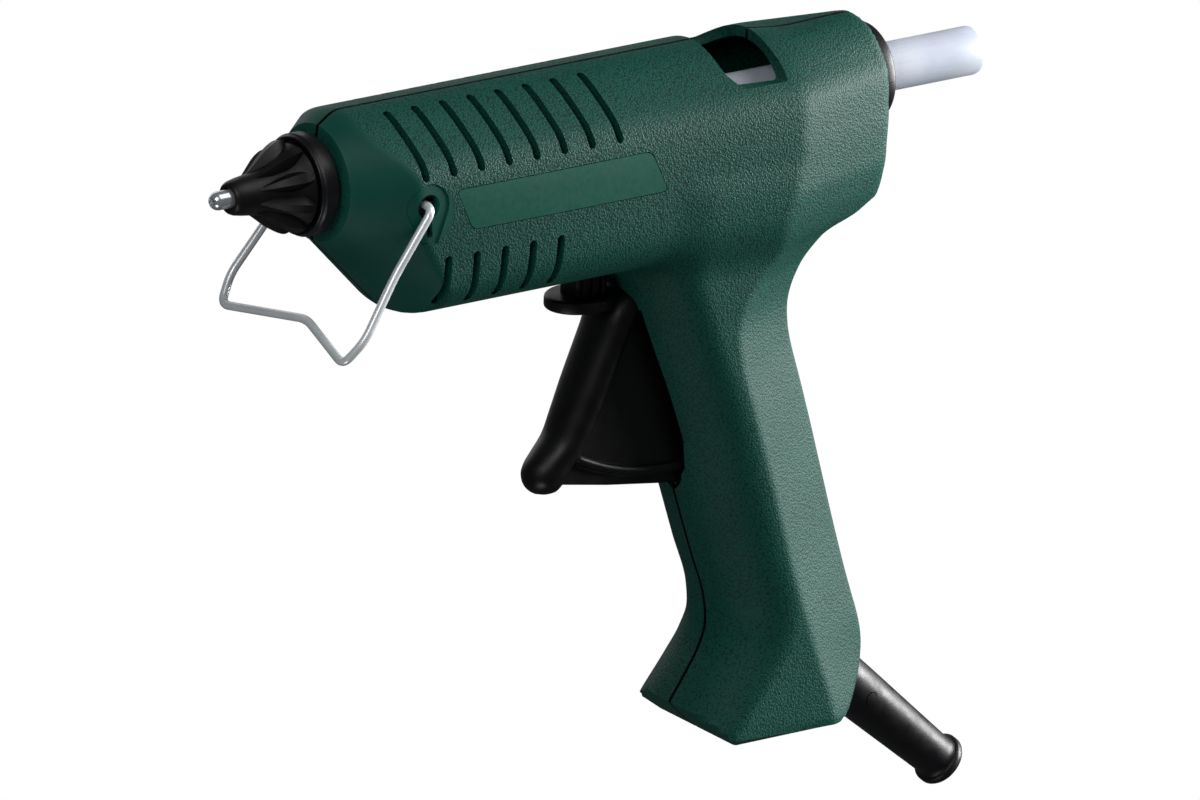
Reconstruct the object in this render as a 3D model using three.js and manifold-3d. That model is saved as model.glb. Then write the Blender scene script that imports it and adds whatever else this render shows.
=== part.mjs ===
// Mains hot-melt glue gun standing on its wire stand and the heel of its grip.
//
// Tool frame used below (millimetres): x runs backwards along the glue stick from the housing's
// front face, y points to the gun's right, z points up, and the stick's axis is y = z = 0.
// The finished group is tipped nose-down onto the standing plane, with +Z up and the
// middle of its footprint box at the origin.
import * as THREE from 'three';
import { mergeVertices } from 'three/addons/utils/BufferGeometryUtils.js';
import Module from 'manifold-3d';

const wasm = await Module();
wasm.setup();

// ---------------------------------------------------------------- driving sizes
const GAP = 0.3; // running gap between neighbouring pieces
const WALL = 2.5; // housing wall
const PARTING = 0.3; // gap between the two housing halves
const TILT = 43; // nose-down standing angle, degrees
const STAND_PLANE = -30.2; // height of the standing plane along the tilted vertical

const STICK = { radius: 5.6, front: 52, rear: 186, chamfer: 1.0 };
const BARREL = { top: 16.2, bottom: -33, halfWidth: 23.4, rear: 152 };
const GRIP = { halfWidth: 17.5, roundDepth: 10, roundSize: 6.5, top: -15 };
const NOZZLE = { tip: -27.5, ballRadius: 2.15, bodyRadius: 5.3, stubRadius: 3.7, stubEnd: 10 };
const COLLAR = { radius: 11.7, front: -4.7, spigot: 8.4, flange: 9.9, boreRadius: 5.7 };
const CAP = { lip: -22.8, lipRadius: 3.25, baseRadius: 9.3, finRadius: 10.5, fins: 10, finWidth: 1.6 };
const CHAMBER = { front: 6, rear: 66, radius: 9.5, neckRadius: 7.6, neckStart: 60, taperEnd: 20 };
const BLOCK = { front: 20, rear: 46, halfWidth: 9, bottom: -17.5 };
const POCKET = { halfWidth: 7, bottom: -15.5, top: -10.3 };
const RING = { radius: 11.6, flangeRadius: 12.6, length: 4.3, flangeLength: 1 };
const RING_STARTS = [9.7, 50.2];
const SLEEVE = { rear: 85, cuffRadius: 9.8, cuffRear: 68, tailRadius: 8.2 };
const BUSH = { radius: 11.2, rear: 156, spigot: 9.0, flange: 9.9 };

const TRIGGER_PIVOT = { x: 102, z: -27 };
const TRIGGER = { halfWidth: 7, hubRadius: 5.5, hubHalf: 13.8, pinRadius: 2, sweepRadius: 60.4 };
const FORK = { inner: 10.8, outer: 13.8, halfWidth: 4.6, length: 31.5 };
const CARRIAGE = { front: 94, rear: 110, halfWidth: 10, bottom: -14.5, top: 3 };
const DRIVE_PIN = { x: 105.5, z: 0, radius: 1.9, reach: 14.6 };
const PAWL = { x: 106, z: -10.5, hubRadius: 2.6, halfWidth: 3, pinRadius: 1.2 };
const SPRING = { arm: 18, coilRadius: 3.3, wireRadius: 0.45, length: 11.7, turns: 6 };

const STAND = { x: 17, z: -2, length: 40, wireRadius: 1, legHalf: 23.2, inner: 15.2, cornerCut: 0.24 };
const KEYHOLE = { radius: 2.85, slotHalf: 0.7, slotDrop: 4.5 };
const BADGE = { left: 24.4, length: 54, top: 0.7, height: 9.7, slant: 4.6, thickness: 0.9 };
const VENT = { width: 2, pitch: 7.7, upperStart: 15.3, upperCount: 8, lowerStart: 21.8, lowerCount: 5 };
const WINDOW = { front: 105.5, rear: 121, halfWidth: 17, sillFront: 108.4, sillRear: 119.5, sill: 0 };

const BOOT = { x: 152, z: -141, angle: -40, bore: 3.8, neck: 5.7, flange: 8.4, end: 48 };
const SCREW = { headRadius: 2.9, headHeight: 2.2, shankRadius: 1.4, length: 24, bossRadius: 3.4 };
const SCREW_PLACES = [
  { name: 'front', x: 15, z: -18.5, seat: 15 },
  { name: 'middle', x: 64, z: -23, seat: 17 },
  { name: 'rear', x: 138, z: -18, seat: 14.5 },
  { name: 'grip', x: 124, z: -104, seat: 11.5 },
  { name: 'heel', x: 126, z: -141, seat: 11.5 },
];
const TERMINAL = { x: 131, z: -118, length: 18, height: 12, halfWidth: 6 };
const LEAD_RADIUS = 1.1;
const CLAMP = { along: -13, length: 6, reach: 7.4, screwAt: 5.3, under: 3.6, thickness: 2.6 };

// ---------------------------------------------------------------- finishes
const finish = (color, roughness, metalness) =>
  new THREE.MeshStandardMaterial({ color, roughness, metalness });
const greenPlastic = () => finish(0x14483c, 0.55, 0);
const badgePlastic = () => finish(0x0e5648, 0.3, 0);
const blackRubber = () => finish(0x15161a, 0.5, 0);
const blackPlastic = () => finish(0x121318, 0.38, 0);
const aluminium = () => finish(0xc9ccd0, 0.3, 1);
const zincSteel = () => finish(0xa9aeb2, 0.35, 1);
const brass = () => finish(0xb9964a, 0.35, 1);
const ceramic = () => finish(0xd8d2c4, 0.7, 0);
const redSilicone = () => finish(0x8d2b22, 0.6, 0);
const gluePlastic = () => finish(0xe9edf2, 0.3, 0);

// ---------------------------------------------------------------- solids
/** Signed volume of an indexed triangle list. */
function signedVolume(positions, index) {
  const corner = (i) => new THREE.Vector3().fromArray(positions, index[i] * 3);
  let total = 0;
  for (let i = 0; i < index.length; i += 3) {
    total += corner(i).dot(corner(i + 1).cross(corner(i + 2))) / 6;
  }
  return total;
}

/** Turn a closed three.js geometry into a solid that can be cut and joined. */
function solid(geometry) {
  geometry.deleteAttribute('normal');
  geometry.deleteAttribute('uv');
  const merged = mergeVertices(geometry, 1e-4);
  const positions = new Float32Array(merged.attributes.position.array);
  let index = [];
  for (let i = 0; i < merged.index.count; i += 3) {
    const [a, b, c] = [0, 1, 2].map((k) => merged.index.getX(i + k));
    if (a !== b && b !== c && a !== c) index.push(a, b, c);
  }
  if (signedVolume(positions, index) < 0) index = index.reverse();
  const mesh = { numProp: 3, vertProperties: positions, triVerts: new Uint32Array(index) };
  return new wasm.Manifold(new wasm.Mesh(mesh));
}

/** Wrap a solid as a named mesh. */
function piece(name, body, material) {
  const result = body.getMesh();
  const geometry = new THREE.BufferGeometry();
  geometry.setAttribute('position', new THREE.BufferAttribute(result.vertProperties, 3));
  geometry.setIndex(new THREE.BufferAttribute(result.triVerts, 1));
  geometry.computeVertexNormals();
  const mesh = new THREE.Mesh(geometry, material);
  mesh.name = name;
  return mesh;
}

/** Straight prism of an outline: axis y takes (x, z) points, x takes (y, z), z takes (x, y). */
function prism(points, axis, from, to) {
  const shape = new THREE.Shape(points.map(([a, b]) => new THREE.Vector2(a, b)));
  const geometry = new THREE.ExtrudeGeometry(shape, { depth: to - from, bevelEnabled: false });
  const [X, Y, Z] = [[1, 0, 0], [0, 1, 0], [0, 0, 1]].map((v) => new THREE.Vector3(...v));
  const turn = new THREE.Matrix4();
  if (axis === 'y') turn.makeBasis(X, Z, Y.clone().negate()).setPosition(0, to, 0);
  if (axis === 'x') turn.makeBasis(Y, Z, X).setPosition(from, 0, 0);
  if (axis === 'z') turn.setPosition(0, 0, from);
  geometry.applyMatrix4(turn);
  return solid(geometry);
}

/** Box from its lowest to its highest corner. */
function box(x0, x1, y0, y1, z0, z1) {
  const geometry = new THREE.BoxGeometry(x1 - x0, y1 - y0, z1 - z0);
  geometry.translate((x0 + x1) / 2, (y0 + y1) / 2, (z0 + z1) / 2);
  return solid(geometry);
}

/** Round bar between two points. */
function rod(from, to, radius, sides = 16) {
  const start = new THREE.Vector3(...from);
  const end = new THREE.Vector3(...to);
  const along = end.clone().sub(start);
  const geometry = new THREE.CylinderGeometry(radius, radius, along.length(), sides);
  const up = new THREE.Vector3(0, 1, 0);
  geometry.applyQuaternion(new THREE.Quaternion().setFromUnitVectors(up, along.normalize()));
  geometry.translate(...start.add(end).multiplyScalar(0.5).toArray());
  return solid(geometry);
}

/** Cross-pin or bore along y at (x, z). */
const crossRod = (x, z, y0, y1, radius, sides = 14) => rod([x, y0, z], [x, y1, z], radius, sides);

/** Turned body about the stick axis from (x, radius) points; a ring repeats its first point. */
function turned(profile, segments = 28) {
  const points = profile.map(([x, r]) => new THREE.Vector2(r, x));
  const geometry = new THREE.LatheGeometry(points, segments);
  geometry.rotateZ(-Math.PI / 2);
  return solid(geometry);
}

/** Closed ring profile. */
const ring = (profile, segments) => turned([...profile, profile[0]], segments);

/** Outline moved inwards by a distance, corner by corner. */
function inset(points, distance) {
  if (distance === 0) return points;
  const loop = points.map(([a, b]) => new THREE.Vector2(a, b));
  const sign = THREE.ShapeUtils.area(loop) > 0 ? 1 : -1;
  return loop.map((here, i) => {
    const before = loop[(i + loop.length - 1) % loop.length];
    const after = loop[(i + 1) % loop.length];
    const first = here.clone().sub(before).normalize();
    const second = after.clone().sub(here).normalize();
    const normal = new THREE.Vector2(-first.y - second.y, first.x + second.x).normalize();
    const half = Math.max(normal.dot(new THREE.Vector2(-second.y, second.x)), 0.3);
    return here.clone().addScaledVector(normal, (sign * distance) / half).toArray();
  });
}

/** Closed outline from one side that starts and ends on the middle line of the first coordinate. */
const mirrored = (half) => [...half, ...half.slice(1, -1).reverse().map(([a, b]) => [-a, b])];

/** Smooth run of points through a few given ones. */
function smooth(points, steps) {
  const curve = new THREE.SplineCurve(points.map(([a, b]) => new THREE.Vector2(a, b)));
  return curve.getPoints(steps).map((p) => p.toArray());
}

const radians = THREE.MathUtils.degToRad;

// ---------------------------------------------------------------- housing
/** Side view of the barrel, (x, z). */
function barrelOutline() {
  const { top, bottom, rear } = BARREL;
  return [
    [0, -12.6], [3.75, -13.2], [20.5, bottom + 1], [24, bottom], [128, bottom], [131.5, -32.5],
    [137.5, -27], [rear - 6, -25], [rear, -11], [rear, 13.4], [rear - 2, 15.4], [132, 14.9],
    [122, top], [7, top], [0, 12.2],
  ];
}

/** Side view of the grip, (x, z), with its toe running past the standing plane. */
function gripOutline() {
  const front = [[84, GRIP.top], [84, -36], [88, -42], [93, -52.5], [98.8, -66], [102, -84], [112, -105.4],
    [116.9, -119], [117.7, -125.3], [116.2, -130.5], [113, -136], [108.8, -142.7]];
  const bottom = [[106.5, -150.5], [112, -153], [146, -152.4], [150.8, -150], [155, -143.5]];
  const rear = smooth([[157.4, -136], [152.8, -118.5], [142.3, -88], [133, -58], [130, -40]], 8);
  return [...front, ...bottom, ...rear, [130, -30], [128, GRIP.top]];
}

/** Arched cross-section of the barrel, (y, z). */
function barrelSection() {
  const w = BARREL.halfWidth;
  const side = [[0, BARREL.top], [4.7, 15.3], [12.1, 12], [19.2, 7.3], [w - 1.4, 1], [w, -14],
    [w - 2.4, -25.5], [w - 8.4, -30], [0, BARREL.bottom]];
  return mirrored(smooth(side, 14));
}

/** Top view of the barrel, (x, y). */
function planOutline() {
  const w = BARREL.halfWidth;
  const edge = [[0, w - 9.9], [4, w - 7.2], [9, w - 4], [14, w - 2.1], [20, w - 1.6], [32, w - 1.4],
    [50, w - 0.2], [110, w], [121, w - 1], [BARREL.rear, w - 10]];
  return [...edge, ...edge.slice().reverse().map(([x, y]) => [x, -y])];
}

/** Solid through (x, z) loops, each at its own y from low to high, capped as the widest loop is. */
function lofted(layers, widest) {
  const count = layers[0].points.length;
  const positions = layers.flatMap(({ y, points }) => points.flatMap(([x, z]) => [x, y, z]));
  const index = [];
  for (let k = 0; k + 1 < layers.length; k += 1) {
    for (let i = 0; i < count; i += 1) {
      const [a, b] = [k * count + i, k * count + ((i + 1) % count)];
      index.push(a, b, b + count, a, b + count, a + count);
    }
  }
  const contour = widest.map((p) => new THREE.Vector2(...p));
  const last = (layers.length - 1) * count;
  for (const [a, b, c] of THREE.ShapeUtils.triangulateShape(contour, [])) {
    index.push(c, b, a, last + a, last + b, last + c);
  }
  const geometry = new THREE.BufferGeometry();
  geometry.setAttribute('position', new THREE.Float32BufferAttribute(positions, 3));
  geometry.setIndex(index);
  return solid(geometry);
}

/** Grip body: the outline at full size near the middle plane, rounded over towards both flanks. */
function gripBody(shrink) {
  const { halfWidth, roundDepth, roundSize } = GRIP;
  const layer = (share) => {
    const turn = share * (Math.PI / 2);
    return {
      y: halfWidth - shrink - roundDepth * (1 - Math.sin(turn)),
      points: inset(gripOutline(), shrink + roundSize * (1 - Math.cos(turn))),
    };
  };
  const right = [0, 0.36, 0.68, 1].map(layer);
  const left = right.map(({ y, points }) => ({ y: -y, points })).reverse();
  return lofted([...left, ...right], gripOutline());
}

/** Everything above the standing plane, raised by a distance. */
function aboveStandingPlane(raise) {
  const slab = new THREE.BoxGeometry(400, 200, 400);
  slab.translate(0, 0, 200 + STAND_PLANE + raise);
  slab.rotateY(radians(TILT));
  return solid(slab);
}

/** Whole outer form of the housing, shrunk by a distance. */
function housingForm(shrink) {
  const side = prism(inset(barrelOutline(), shrink), 'y', -40, 40);
  const arch = prism(inset(barrelSection(), shrink), 'x', -10, 170);
  const plan = prism(inset(planOutline(), shrink), 'z', -60, 40);
  const barrel = side.intersect(arch).intersect(plan);
  return barrel.add(gripBody(shrink)).intersect(aboveStandingPlane(shrink));
}

/** Narrow cooling slots in both flanks. */
function ventCuts() {
  const cuts = [];
  for (const s of [-1, 1]) {
    const flank = (near, far) => (s < 0 ? [-far, -near] : [near, far]);
    for (let i = 0; i < VENT.upperCount; i += 1) {
      const x = VENT.upperStart + i * VENT.pitch;
      cuts.push(box(x, x + VENT.width, ...flank(4.7, 21.4), 4, 20));
    }
    for (let i = 0; i < VENT.lowerCount; i += 1) {
      const x = VENT.lowerStart + i * VENT.pitch;
      cuts.push(box(x, x + VENT.width, ...flank(17, 30), -27, -15));
    }
  }
  return cuts;
}

/** Saddle-shaped feed window across the top of the barrel. */
function windowCut() {
  const w = WINDOW;
  const notch = [[w.front, 20], [w.front, 12], [w.sillFront, w.sill], [w.sillRear, w.sill],
    [w.rear, 12], [w.rear, 20]];
  return prism(notch, 'y', -w.halfWidth, w.halfWidth);
}

/** Slot under the barrel and down the front of the grip that the trigger moves in. */
function triggerSlot() {
  const floor = TRIGGER_PIVOT.z - TRIGGER.sweepRadius - 4 * GAP;
  const half = TRIGGER.halfWidth + 2 * GAP;
  const slot = [[72.5, -25], [72.5, -45], [95, floor], [112, floor], [108, -70], [101, -50], [99, -25]];
  return prism(slot, 'y', -half, half);
}

/** Direction along the bend protector and across it, in the x-z plane. */
const bootAlong = new THREE.Vector2(Math.cos(radians(BOOT.angle)), Math.sin(radians(BOOT.angle)));
const bootAcross = new THREE.Vector2(-bootAlong.y, bootAlong.x);

/** Point at a distance along and across the cord's axis, as [x, z]. */
function cordPoint(along, across) {
  const p = new THREE.Vector2(BOOT.x, BOOT.z);
  p.addScaledVector(bootAlong, along).addScaledVector(bootAcross, across);
  return p.toArray();
}

/** Round bar on the cord's axis. */
function cordRod(from, to, radius, sides = 24) {
  const [x0, z0] = cordPoint(from, 0);
  const [x1, z1] = cordPoint(to, 0);
  return rod([x0, 0, z0], [x1, 0, z1], radius, sides);
}

/** Parallelogram badge outline, grown by a distance, (x, z). */
function badgeOutline(grow) {
  const { left, length, top, height, slant } = BADGE;
  const corners = [[left, top], [left + length, top], [left + length + slant, top - height],
    [left + slant, top - height]];
  return inset(corners, -grow);
}

/** Everything outside a depth below the skin, inside the grown badge outline, on one side. */
function badgeRecess(side, grow, depth) {
  const [y0, y1] = side < 0 ? [-40, -5] : [5, 40];
  return prism(badgeOutline(grow), 'y', y0, y1).subtract(housingForm(depth));
}

/** Curved badge plate that lies flush in its recess. */
const badge = (side) => badgeRecess(side, 0, BADGE.thickness).intersect(housingForm(0));

/** Unit vectors of the return spring: outwards from the pivot, and along the coil. */
const springOut = new THREE.Vector2(Math.cos(radians(TILT)), -Math.sin(radians(TILT)));
const springAlong = new THREE.Vector2(Math.sin(radians(TILT)), Math.cos(radians(TILT)));

/** Point at a distance out from the trigger pivot and along the spring, as [x, z]. */
function springPoint(out, along) {
  const p = new THREE.Vector2(TRIGGER_PIVOT.x, TRIGGER_PIVOT.z);
  return p.addScaledVector(springOut, out).addScaledVector(springAlong, along).toArray();
}

/** Ribs, seats and bosses that stand on the inside of one half. */
function insideFeatures(side) {
  const outer = side * 40;
  const [y0, y1] = side < 0 ? [outer, -PARTING / 2] : [PARTING / 2, outer];
  const parts = [];
  for (const start of RING_STARTS) {
    const rib = box(start + 0.6, start + 3, y0, y1, -40, 30);
    const seat = rod([start, 0, 0], [start + RING.length, 0, 0], RING.radius + GAP, 28);
    parts.push(rib.subtract(seat).subtract(box(start, start + 4, -10, 10, -20, -5)));
  }
  const seatPlate = [springPoint(SPRING.arm - 4.5, SPRING.length + 2 * GAP),
    springPoint(SPRING.arm + 4.5, SPRING.length + 2 * GAP),
    springPoint(SPRING.arm + 4.5, SPRING.length + 3.6),
    springPoint(SPRING.arm - 4.5, SPRING.length + 3.6)];
  parts.push(prism(seatPlate, 'y', y0, y1));
  const pivotBoss = TRIGGER.hubHalf + 2 * GAP;
  parts.push(crossRod(TRIGGER_PIVOT.x, TRIGGER_PIVOT.z, side * pivotBoss, outer, 4.6));
  parts.push(crossRod(STAND.x, STAND.z, side * (STAND.inner + 0.2), outer, 5));
  parts.push(cordRod(-6, 8, 11.5).intersect(box(100, 200, y0, y1, -200, -100)));
  for (const place of SCREW_PLACES) {
    parts.push(crossRod(place.x, place.z, side * (PARTING / 2), outer, SCREW.bossRadius));
    parts.push(crossRod(place.x, place.z, side * (place.seat - 2.5), outer, SCREW.bossRadius + 1.6));
  }
  return parts;
}

/** Holes bored into both halves. */
function boredCuts(side) {
  const outer = side * 40;
  const cuts = [
    rod([-1, 0, 0], [WALL + 0.3, 0, 0], COLLAR.spigot + GAP, 28),
    rod([BARREL.rear - WALL - 0.3, 0, 0], [BARREL.rear + 1, 0, 0], BUSH.spigot + GAP, 28),
    windowCut(),
    triggerSlot(),
    crossRod(TRIGGER_PIVOT.x, TRIGGER_PIVOT.z, 0, side * 19, TRIGGER.pinRadius + GAP),
    crossRod(STAND.x, STAND.z, side * (STAND.inner + 2), outer, KEYHOLE.radius),
    crossRod(STAND.x, STAND.z, 0, outer, STAND.wireRadius + GAP, 16),
    cordRod(-8, 12, BOOT.neck + GAP),
    cordRod(-4.3, -1, BOOT.flange + GAP),
  ];
  const slotFoot = STAND.z - KEYHOLE.radius - KEYHOLE.slotDrop;
  const [k0, k1] = side < 0 ? [-40, -17.5] : [17.5, 40];
  cuts.push(box(STAND.x - KEYHOLE.slotHalf, STAND.x + KEYHOLE.slotHalf, k0, k1, slotFoot, STAND.z));
  for (const place of SCREW_PLACES) {
    const bore = SCREW.shankRadius + GAP;
    const deep = side > 0 ? place.seat + 1 : place.seat - SCREW.length - 1;
    cuts.push(crossRod(place.x, place.z, 0, deep, bore, 12));
    if (side > 0) {
      cuts.push(crossRod(place.x, place.z, place.seat, outer, SCREW.headRadius + GAP, 20));
    }
  }
  return cuts;
}

/** Posts on the left half that the cord clamp is screwed to. */
function clampPosts() {
  const posts = [];
  for (const across of [-CLAMP.screwAt, CLAMP.screwAt]) {
    const [x, z] = cordPoint(CLAMP.along, across);
    const post = crossRod(x, z, -16, CLAMP.under - GAP, 2, 12);
    posts.push(post.subtract(crossRod(x, z, -6, CLAMP.under + 1, 1.1, 10)));
  }
  return posts;
}

/** One half of the housing: -1 is the gun's left, +1 its right. */
function housingHalf(side) {
  const outerForm = housingForm(0);
  const innerForm = housingForm(WALL);
  const [y0, y1] = side < 0 ? [-40, -PARTING / 2] : [PARTING / 2, 40];
  const halfSpace = box(-20, 200, y0, y1, -200, 60);
  let shell = outerForm.subtract(innerForm);
  for (const cut of ventCuts()) shell = shell.subtract(cut);
  shell = shell.intersect(halfSpace);
  for (const feature of insideFeatures(side)) shell = shell.add(feature.intersect(outerForm));
  for (const cut of boredCuts(side)) shell = shell.subtract(cut);
  shell = shell.subtract(badgeRecess(side, GAP, BADGE.thickness + GAP));
  shell = shell.intersect(halfSpace);
  if (side < 0) for (const post of clampPosts()) shell = shell.add(post);
  return shell;
}

// ---------------------------------------------------------------- nozzle end
/** Metal nozzle with a ball end and a through bore. */
function nozzle() {
  const { tip, ballRadius: r, bodyRadius: b, stubRadius: s, stubEnd } = NOZZLE;
  const ball = [];
  for (let i = 0; i <= 5; i += 1) {
    const a = radians(28 + (i * 62) / 5);
    ball.push([tip + r - r * Math.cos(a), r * Math.sin(a)]);
  }
  const profile = [[tip + 0.4, 0.9], ...ball, [CAP.lip + 1, r], [-13, b - 1.2], [-12, b],
    [-5, b], [-4, b - 0.3], [-0.6, b - 0.3], [-0.6, s], [stubEnd, s], [stubEnd, 1.8], [-14, 1.8], [-20, 0.9]];
  return ring(profile, 18);
}

/** Heat-shielding rubber cap with leaf-shaped fins. */
function nozzleCap() {
  const { lip, lipRadius, baseRadius, finRadius, fins, finWidth } = CAP;
  const base = COLLAR.front - GAP;
  const inner = NOZZLE.bodyRadius + GAP;
  const cone = ring([[lip, NOZZLE.ballRadius + GAP], [lip, lipRadius - 0.4], [lip + 0.7, lipRadius + 0.3],
    [lip + 5, 4.85], [lip + 8, 6], [base - 3, baseRadius], [base, baseRadius], [base, inner],
    [-13, inner], [-14.2, inner - 1.2], [lip + 2, NOZZLE.ballRadius + GAP + 0.2]], 20);
  const leaf = [[lip + 6, 4.2], [lip + 11, 8], [lip + 14, finRadius - 0.4], [base - 1.4, finRadius],
    [base, finRadius - 0.6], [base, inner + 1], [lip + 9, inner + 0.2]];
  let cap = cone;
  for (let i = 0; i < fins; i += 1) {
    const geometry = new THREE.ExtrudeGeometry(
      new THREE.Shape(leaf.map((p) => new THREE.Vector2(...p))),
      { depth: finWidth, bevelEnabled: false },
    );
    geometry.translate(0, 0, -finWidth / 2);
    geometry.rotateX(((i + 0.5) * 2 * Math.PI) / fins);
    cap = cap.add(solid(geometry));
  }
  return cap;
}

/** Collar ring with a spigot and a retaining flange behind the front wall. */
function frontCollar() {
  const c = COLLAR;
  return ring([[c.front, c.boreRadius], [c.front, c.radius - 0.6], [c.front + 0.6, c.radius],
    [-GAP, c.radius], [-GAP, c.spigot], [WALL + GAP, c.spigot], [WALL + GAP, c.flange],
    [WALL + 2.6, c.flange], [WALL + 2.6, c.boreRadius]]);
}

// ---------------------------------------------------------------- heating and feed
/** Aluminium melting chamber with a tapered bore and a heater pocket underneath. */
function meltChamber() {
  const c = CHAMBER;
  const bore = STICK.radius + GAP;
  const body = ring([[c.front, NOZZLE.stubRadius + GAP], [c.front, c.radius - 1], [c.front + 1, c.radius],
    [c.neckStart, c.radius], [c.neckStart, c.neckRadius], [c.rear, c.neckRadius], [c.rear, bore + 0.6],
    [c.rear - 1.5, bore], [c.taperEnd, bore], [NOZZLE.stubEnd + 2, NOZZLE.stubRadius + GAP]]);
  const b = BLOCK;
  const lug = box(b.front, b.rear, -b.halfWidth, b.halfWidth, b.bottom, -7)
    .subtract(rod([b.front - 1, 0, 0], [b.rear + 1, 0, 0], c.radius - 1, 28));
  const pocket = box(b.front - 1, b.rear + 1, -POCKET.halfWidth, POCKET.halfWidth, POCKET.bottom, POCKET.top);
  return body.add(lug).subtract(pocket);
}

/** Ceramic heater that fills the pocket. */
function heaterElement() {
  const half = POCKET.halfWidth - GAP;
  return box(BLOCK.front + 1, BLOCK.rear - 1, -half, half, POCKET.bottom + GAP, POCKET.top - GAP);
}

/** Heat-proof ring that carries the chamber in the housing ribs. */
function supportRing(start) {
  const bore = CHAMBER.radius + GAP;
  const flangeStart = start + RING.length - RING.flangeLength;
  return ring([[start, bore], [start, RING.radius], [flangeStart, RING.radius],
    [flangeStart, RING.flangeRadius], [start + RING.length, RING.flangeRadius],
    [start + RING.length, bore]]);
}

/** Silicone sleeve that guides the stick into the chamber. */
function inletSleeve() {
  const front = CHAMBER.neckStart + 0.5;
  const step = CHAMBER.rear + 0.4;
  const s = SLEEVE;
  const bore = STICK.radius + GAP;
  return ring([[front, CHAMBER.neckRadius + GAP], [front, s.cuffRadius], [s.cuffRear, s.cuffRadius],
    [s.cuffRear + 1.5, s.tailRadius], [s.rear, s.tailRadius], [s.rear, bore + 0.8],
    [s.rear - 2, bore], [step, bore], [step, CHAMBER.neckRadius + GAP]]);
}

/** Wire clamp around the sleeve's cuff. */
function sleeveClamp() {
  const inner = SLEEVE.cuffRadius + GAP;
  return ring([[62.5, inner], [62.5, inner + 1.2], [65, inner + 1.2], [65, inner]]);
}

/** Glue stick, chamfered at both ends. */
function glueStick() {
  const { radius: r, front, rear, chamfer: c } = STICK;
  return turned([[front, 0], [front, r - c], [front + c, r], [rear - c, r], [rear, r - c], [rear, 0]]);
}

/** Cradle under the stick, with the drive pins on its cheeks and a slot for the pawl. */
function feedCarriage() {
  const c = CARRIAGE;
  const channel = STICK.radius + 0.5;
  const slot = PAWL.halfWidth + GAP;
  let cradle = box(c.front, c.rear, -c.halfWidth, c.halfWidth, c.bottom, c.top)
    .subtract(rod([c.front - 1, 0, 0], [c.rear + 1, 0, 0], channel, 32))
    .subtract(box(c.front - 1, c.rear + 1, -channel, channel, 0, c.top + 1))
    .subtract(box(PAWL.x - 5.5, c.rear + 1, -slot, slot, c.bottom - 1, 0));
  for (const side of [-1, 1]) {
    cradle = cradle.add(
      crossRod(DRIVE_PIN.x, DRIVE_PIN.z, side * 8.5, side * DRIVE_PIN.reach, DRIVE_PIN.radius, 20),
    );
  }
  const bore = PAWL.pinRadius + GAP;
  return cradle.subtract(crossRod(PAWL.x, PAWL.z, -c.halfWidth - 1, c.halfWidth + 1, bore, 16));
}

/** Toothed pawl that grips the stick from below. */
function gripPawl() {
  const { x, z, hubRadius, halfWidth, pinRadius } = PAWL;
  const tip = -STICK.radius - 0.9;
  const arm = [[x + 1.5, z + 2], [x - 1.5, tip - 0.3], [x - 2.1, tip], [x - 2.7, tip - 0.5],
    [x - 3.3, tip], [x - 4.2, tip - 1], [x - 3.2, z - 1.4], [x, z - 2.4]];
  return prism(arm, 'y', -halfWidth, halfWidth)
    .add(crossRod(x, z, -halfWidth, halfWidth, hubRadius, 20))
    .subtract(crossRod(x, z, -halfWidth - 1, halfWidth + 1, pinRadius + GAP, 16));
}

/** Trigger: finger lever, front plate and post, hub, fork to the carriage and spring seat. */
function trigger() {
  const { x, z } = TRIGGER_PIVOT;
  const t = TRIGGER;
  const sweep = [];
  for (let i = 0; i <= 6; i += 1) {
    const a = radians(-113 + i * 5.2);
    sweep.push([x + t.sweepRadius * Math.cos(a), z + t.sweepRadius * Math.sin(a)]);
  }
  const lever = [[81, -30], [81, -42.5], [80.7, -47.8], [76.4, -59], [73.4, -66.5], [70.8, -73.4],
    [69, -76], [65.6, -78.4], [65.2, -81.3], [67, -84.2], [70.1, -85.6], ...sweep,
    [105.5, -66], [103.5, -50], [107, -32], [102, -22], [92, -24]];
  const plate = [];
  for (let i = 0; i < 20; i += 1) {
    const a = (i * Math.PI) / 10;
    plate.push([79.5 + 10.5 * Math.cos(a), t.halfWidth * Math.sin(a)]);
  }
  const tail = [springPoint(0, 0), springPoint(SPRING.arm + 4.6, -GAP),
    springPoint(SPRING.arm + 4.6, -4.8), springPoint(0, -5.2)];
  let body = prism(lever, 'y', -t.halfWidth, t.halfWidth)
    .add(prism(plate, 'z', -42.2, -39))
    .add(box(74, 82, -4, 4, -41, -22))
    .add(prism(tail, 'y', -5, 5))
    .add(crossRod(x, z, -t.hubHalf, t.hubHalf, t.hubRadius, 28));
  const reach = new THREE.Vector2(DRIVE_PIN.x - x, DRIVE_PIN.z - z);
  const up = reach.clone().normalize();
  const at = (along, across) => [x + up.x * along + up.y * across, z + up.y * along - up.x * across];
  const notch = DRIVE_PIN.radius + GAP;
  const w = FORK.halfWidth;
  const arm = [at(0, -w), at(0, w), at(FORK.length, w), at(FORK.length, notch),
    at(reach.length() - notch - 0.6, notch), at(reach.length() - notch - 0.6, -notch),
    at(FORK.length, -notch), at(FORK.length, -w)];
  body = body.add(prism(arm, 'y', FORK.inner, FORK.outer));
  body = body.add(prism(arm, 'y', -FORK.outer, -FORK.inner));
  return body.subtract(crossRod(x, z, -20, 20, t.pinRadius + GAP, 20));
}

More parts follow.
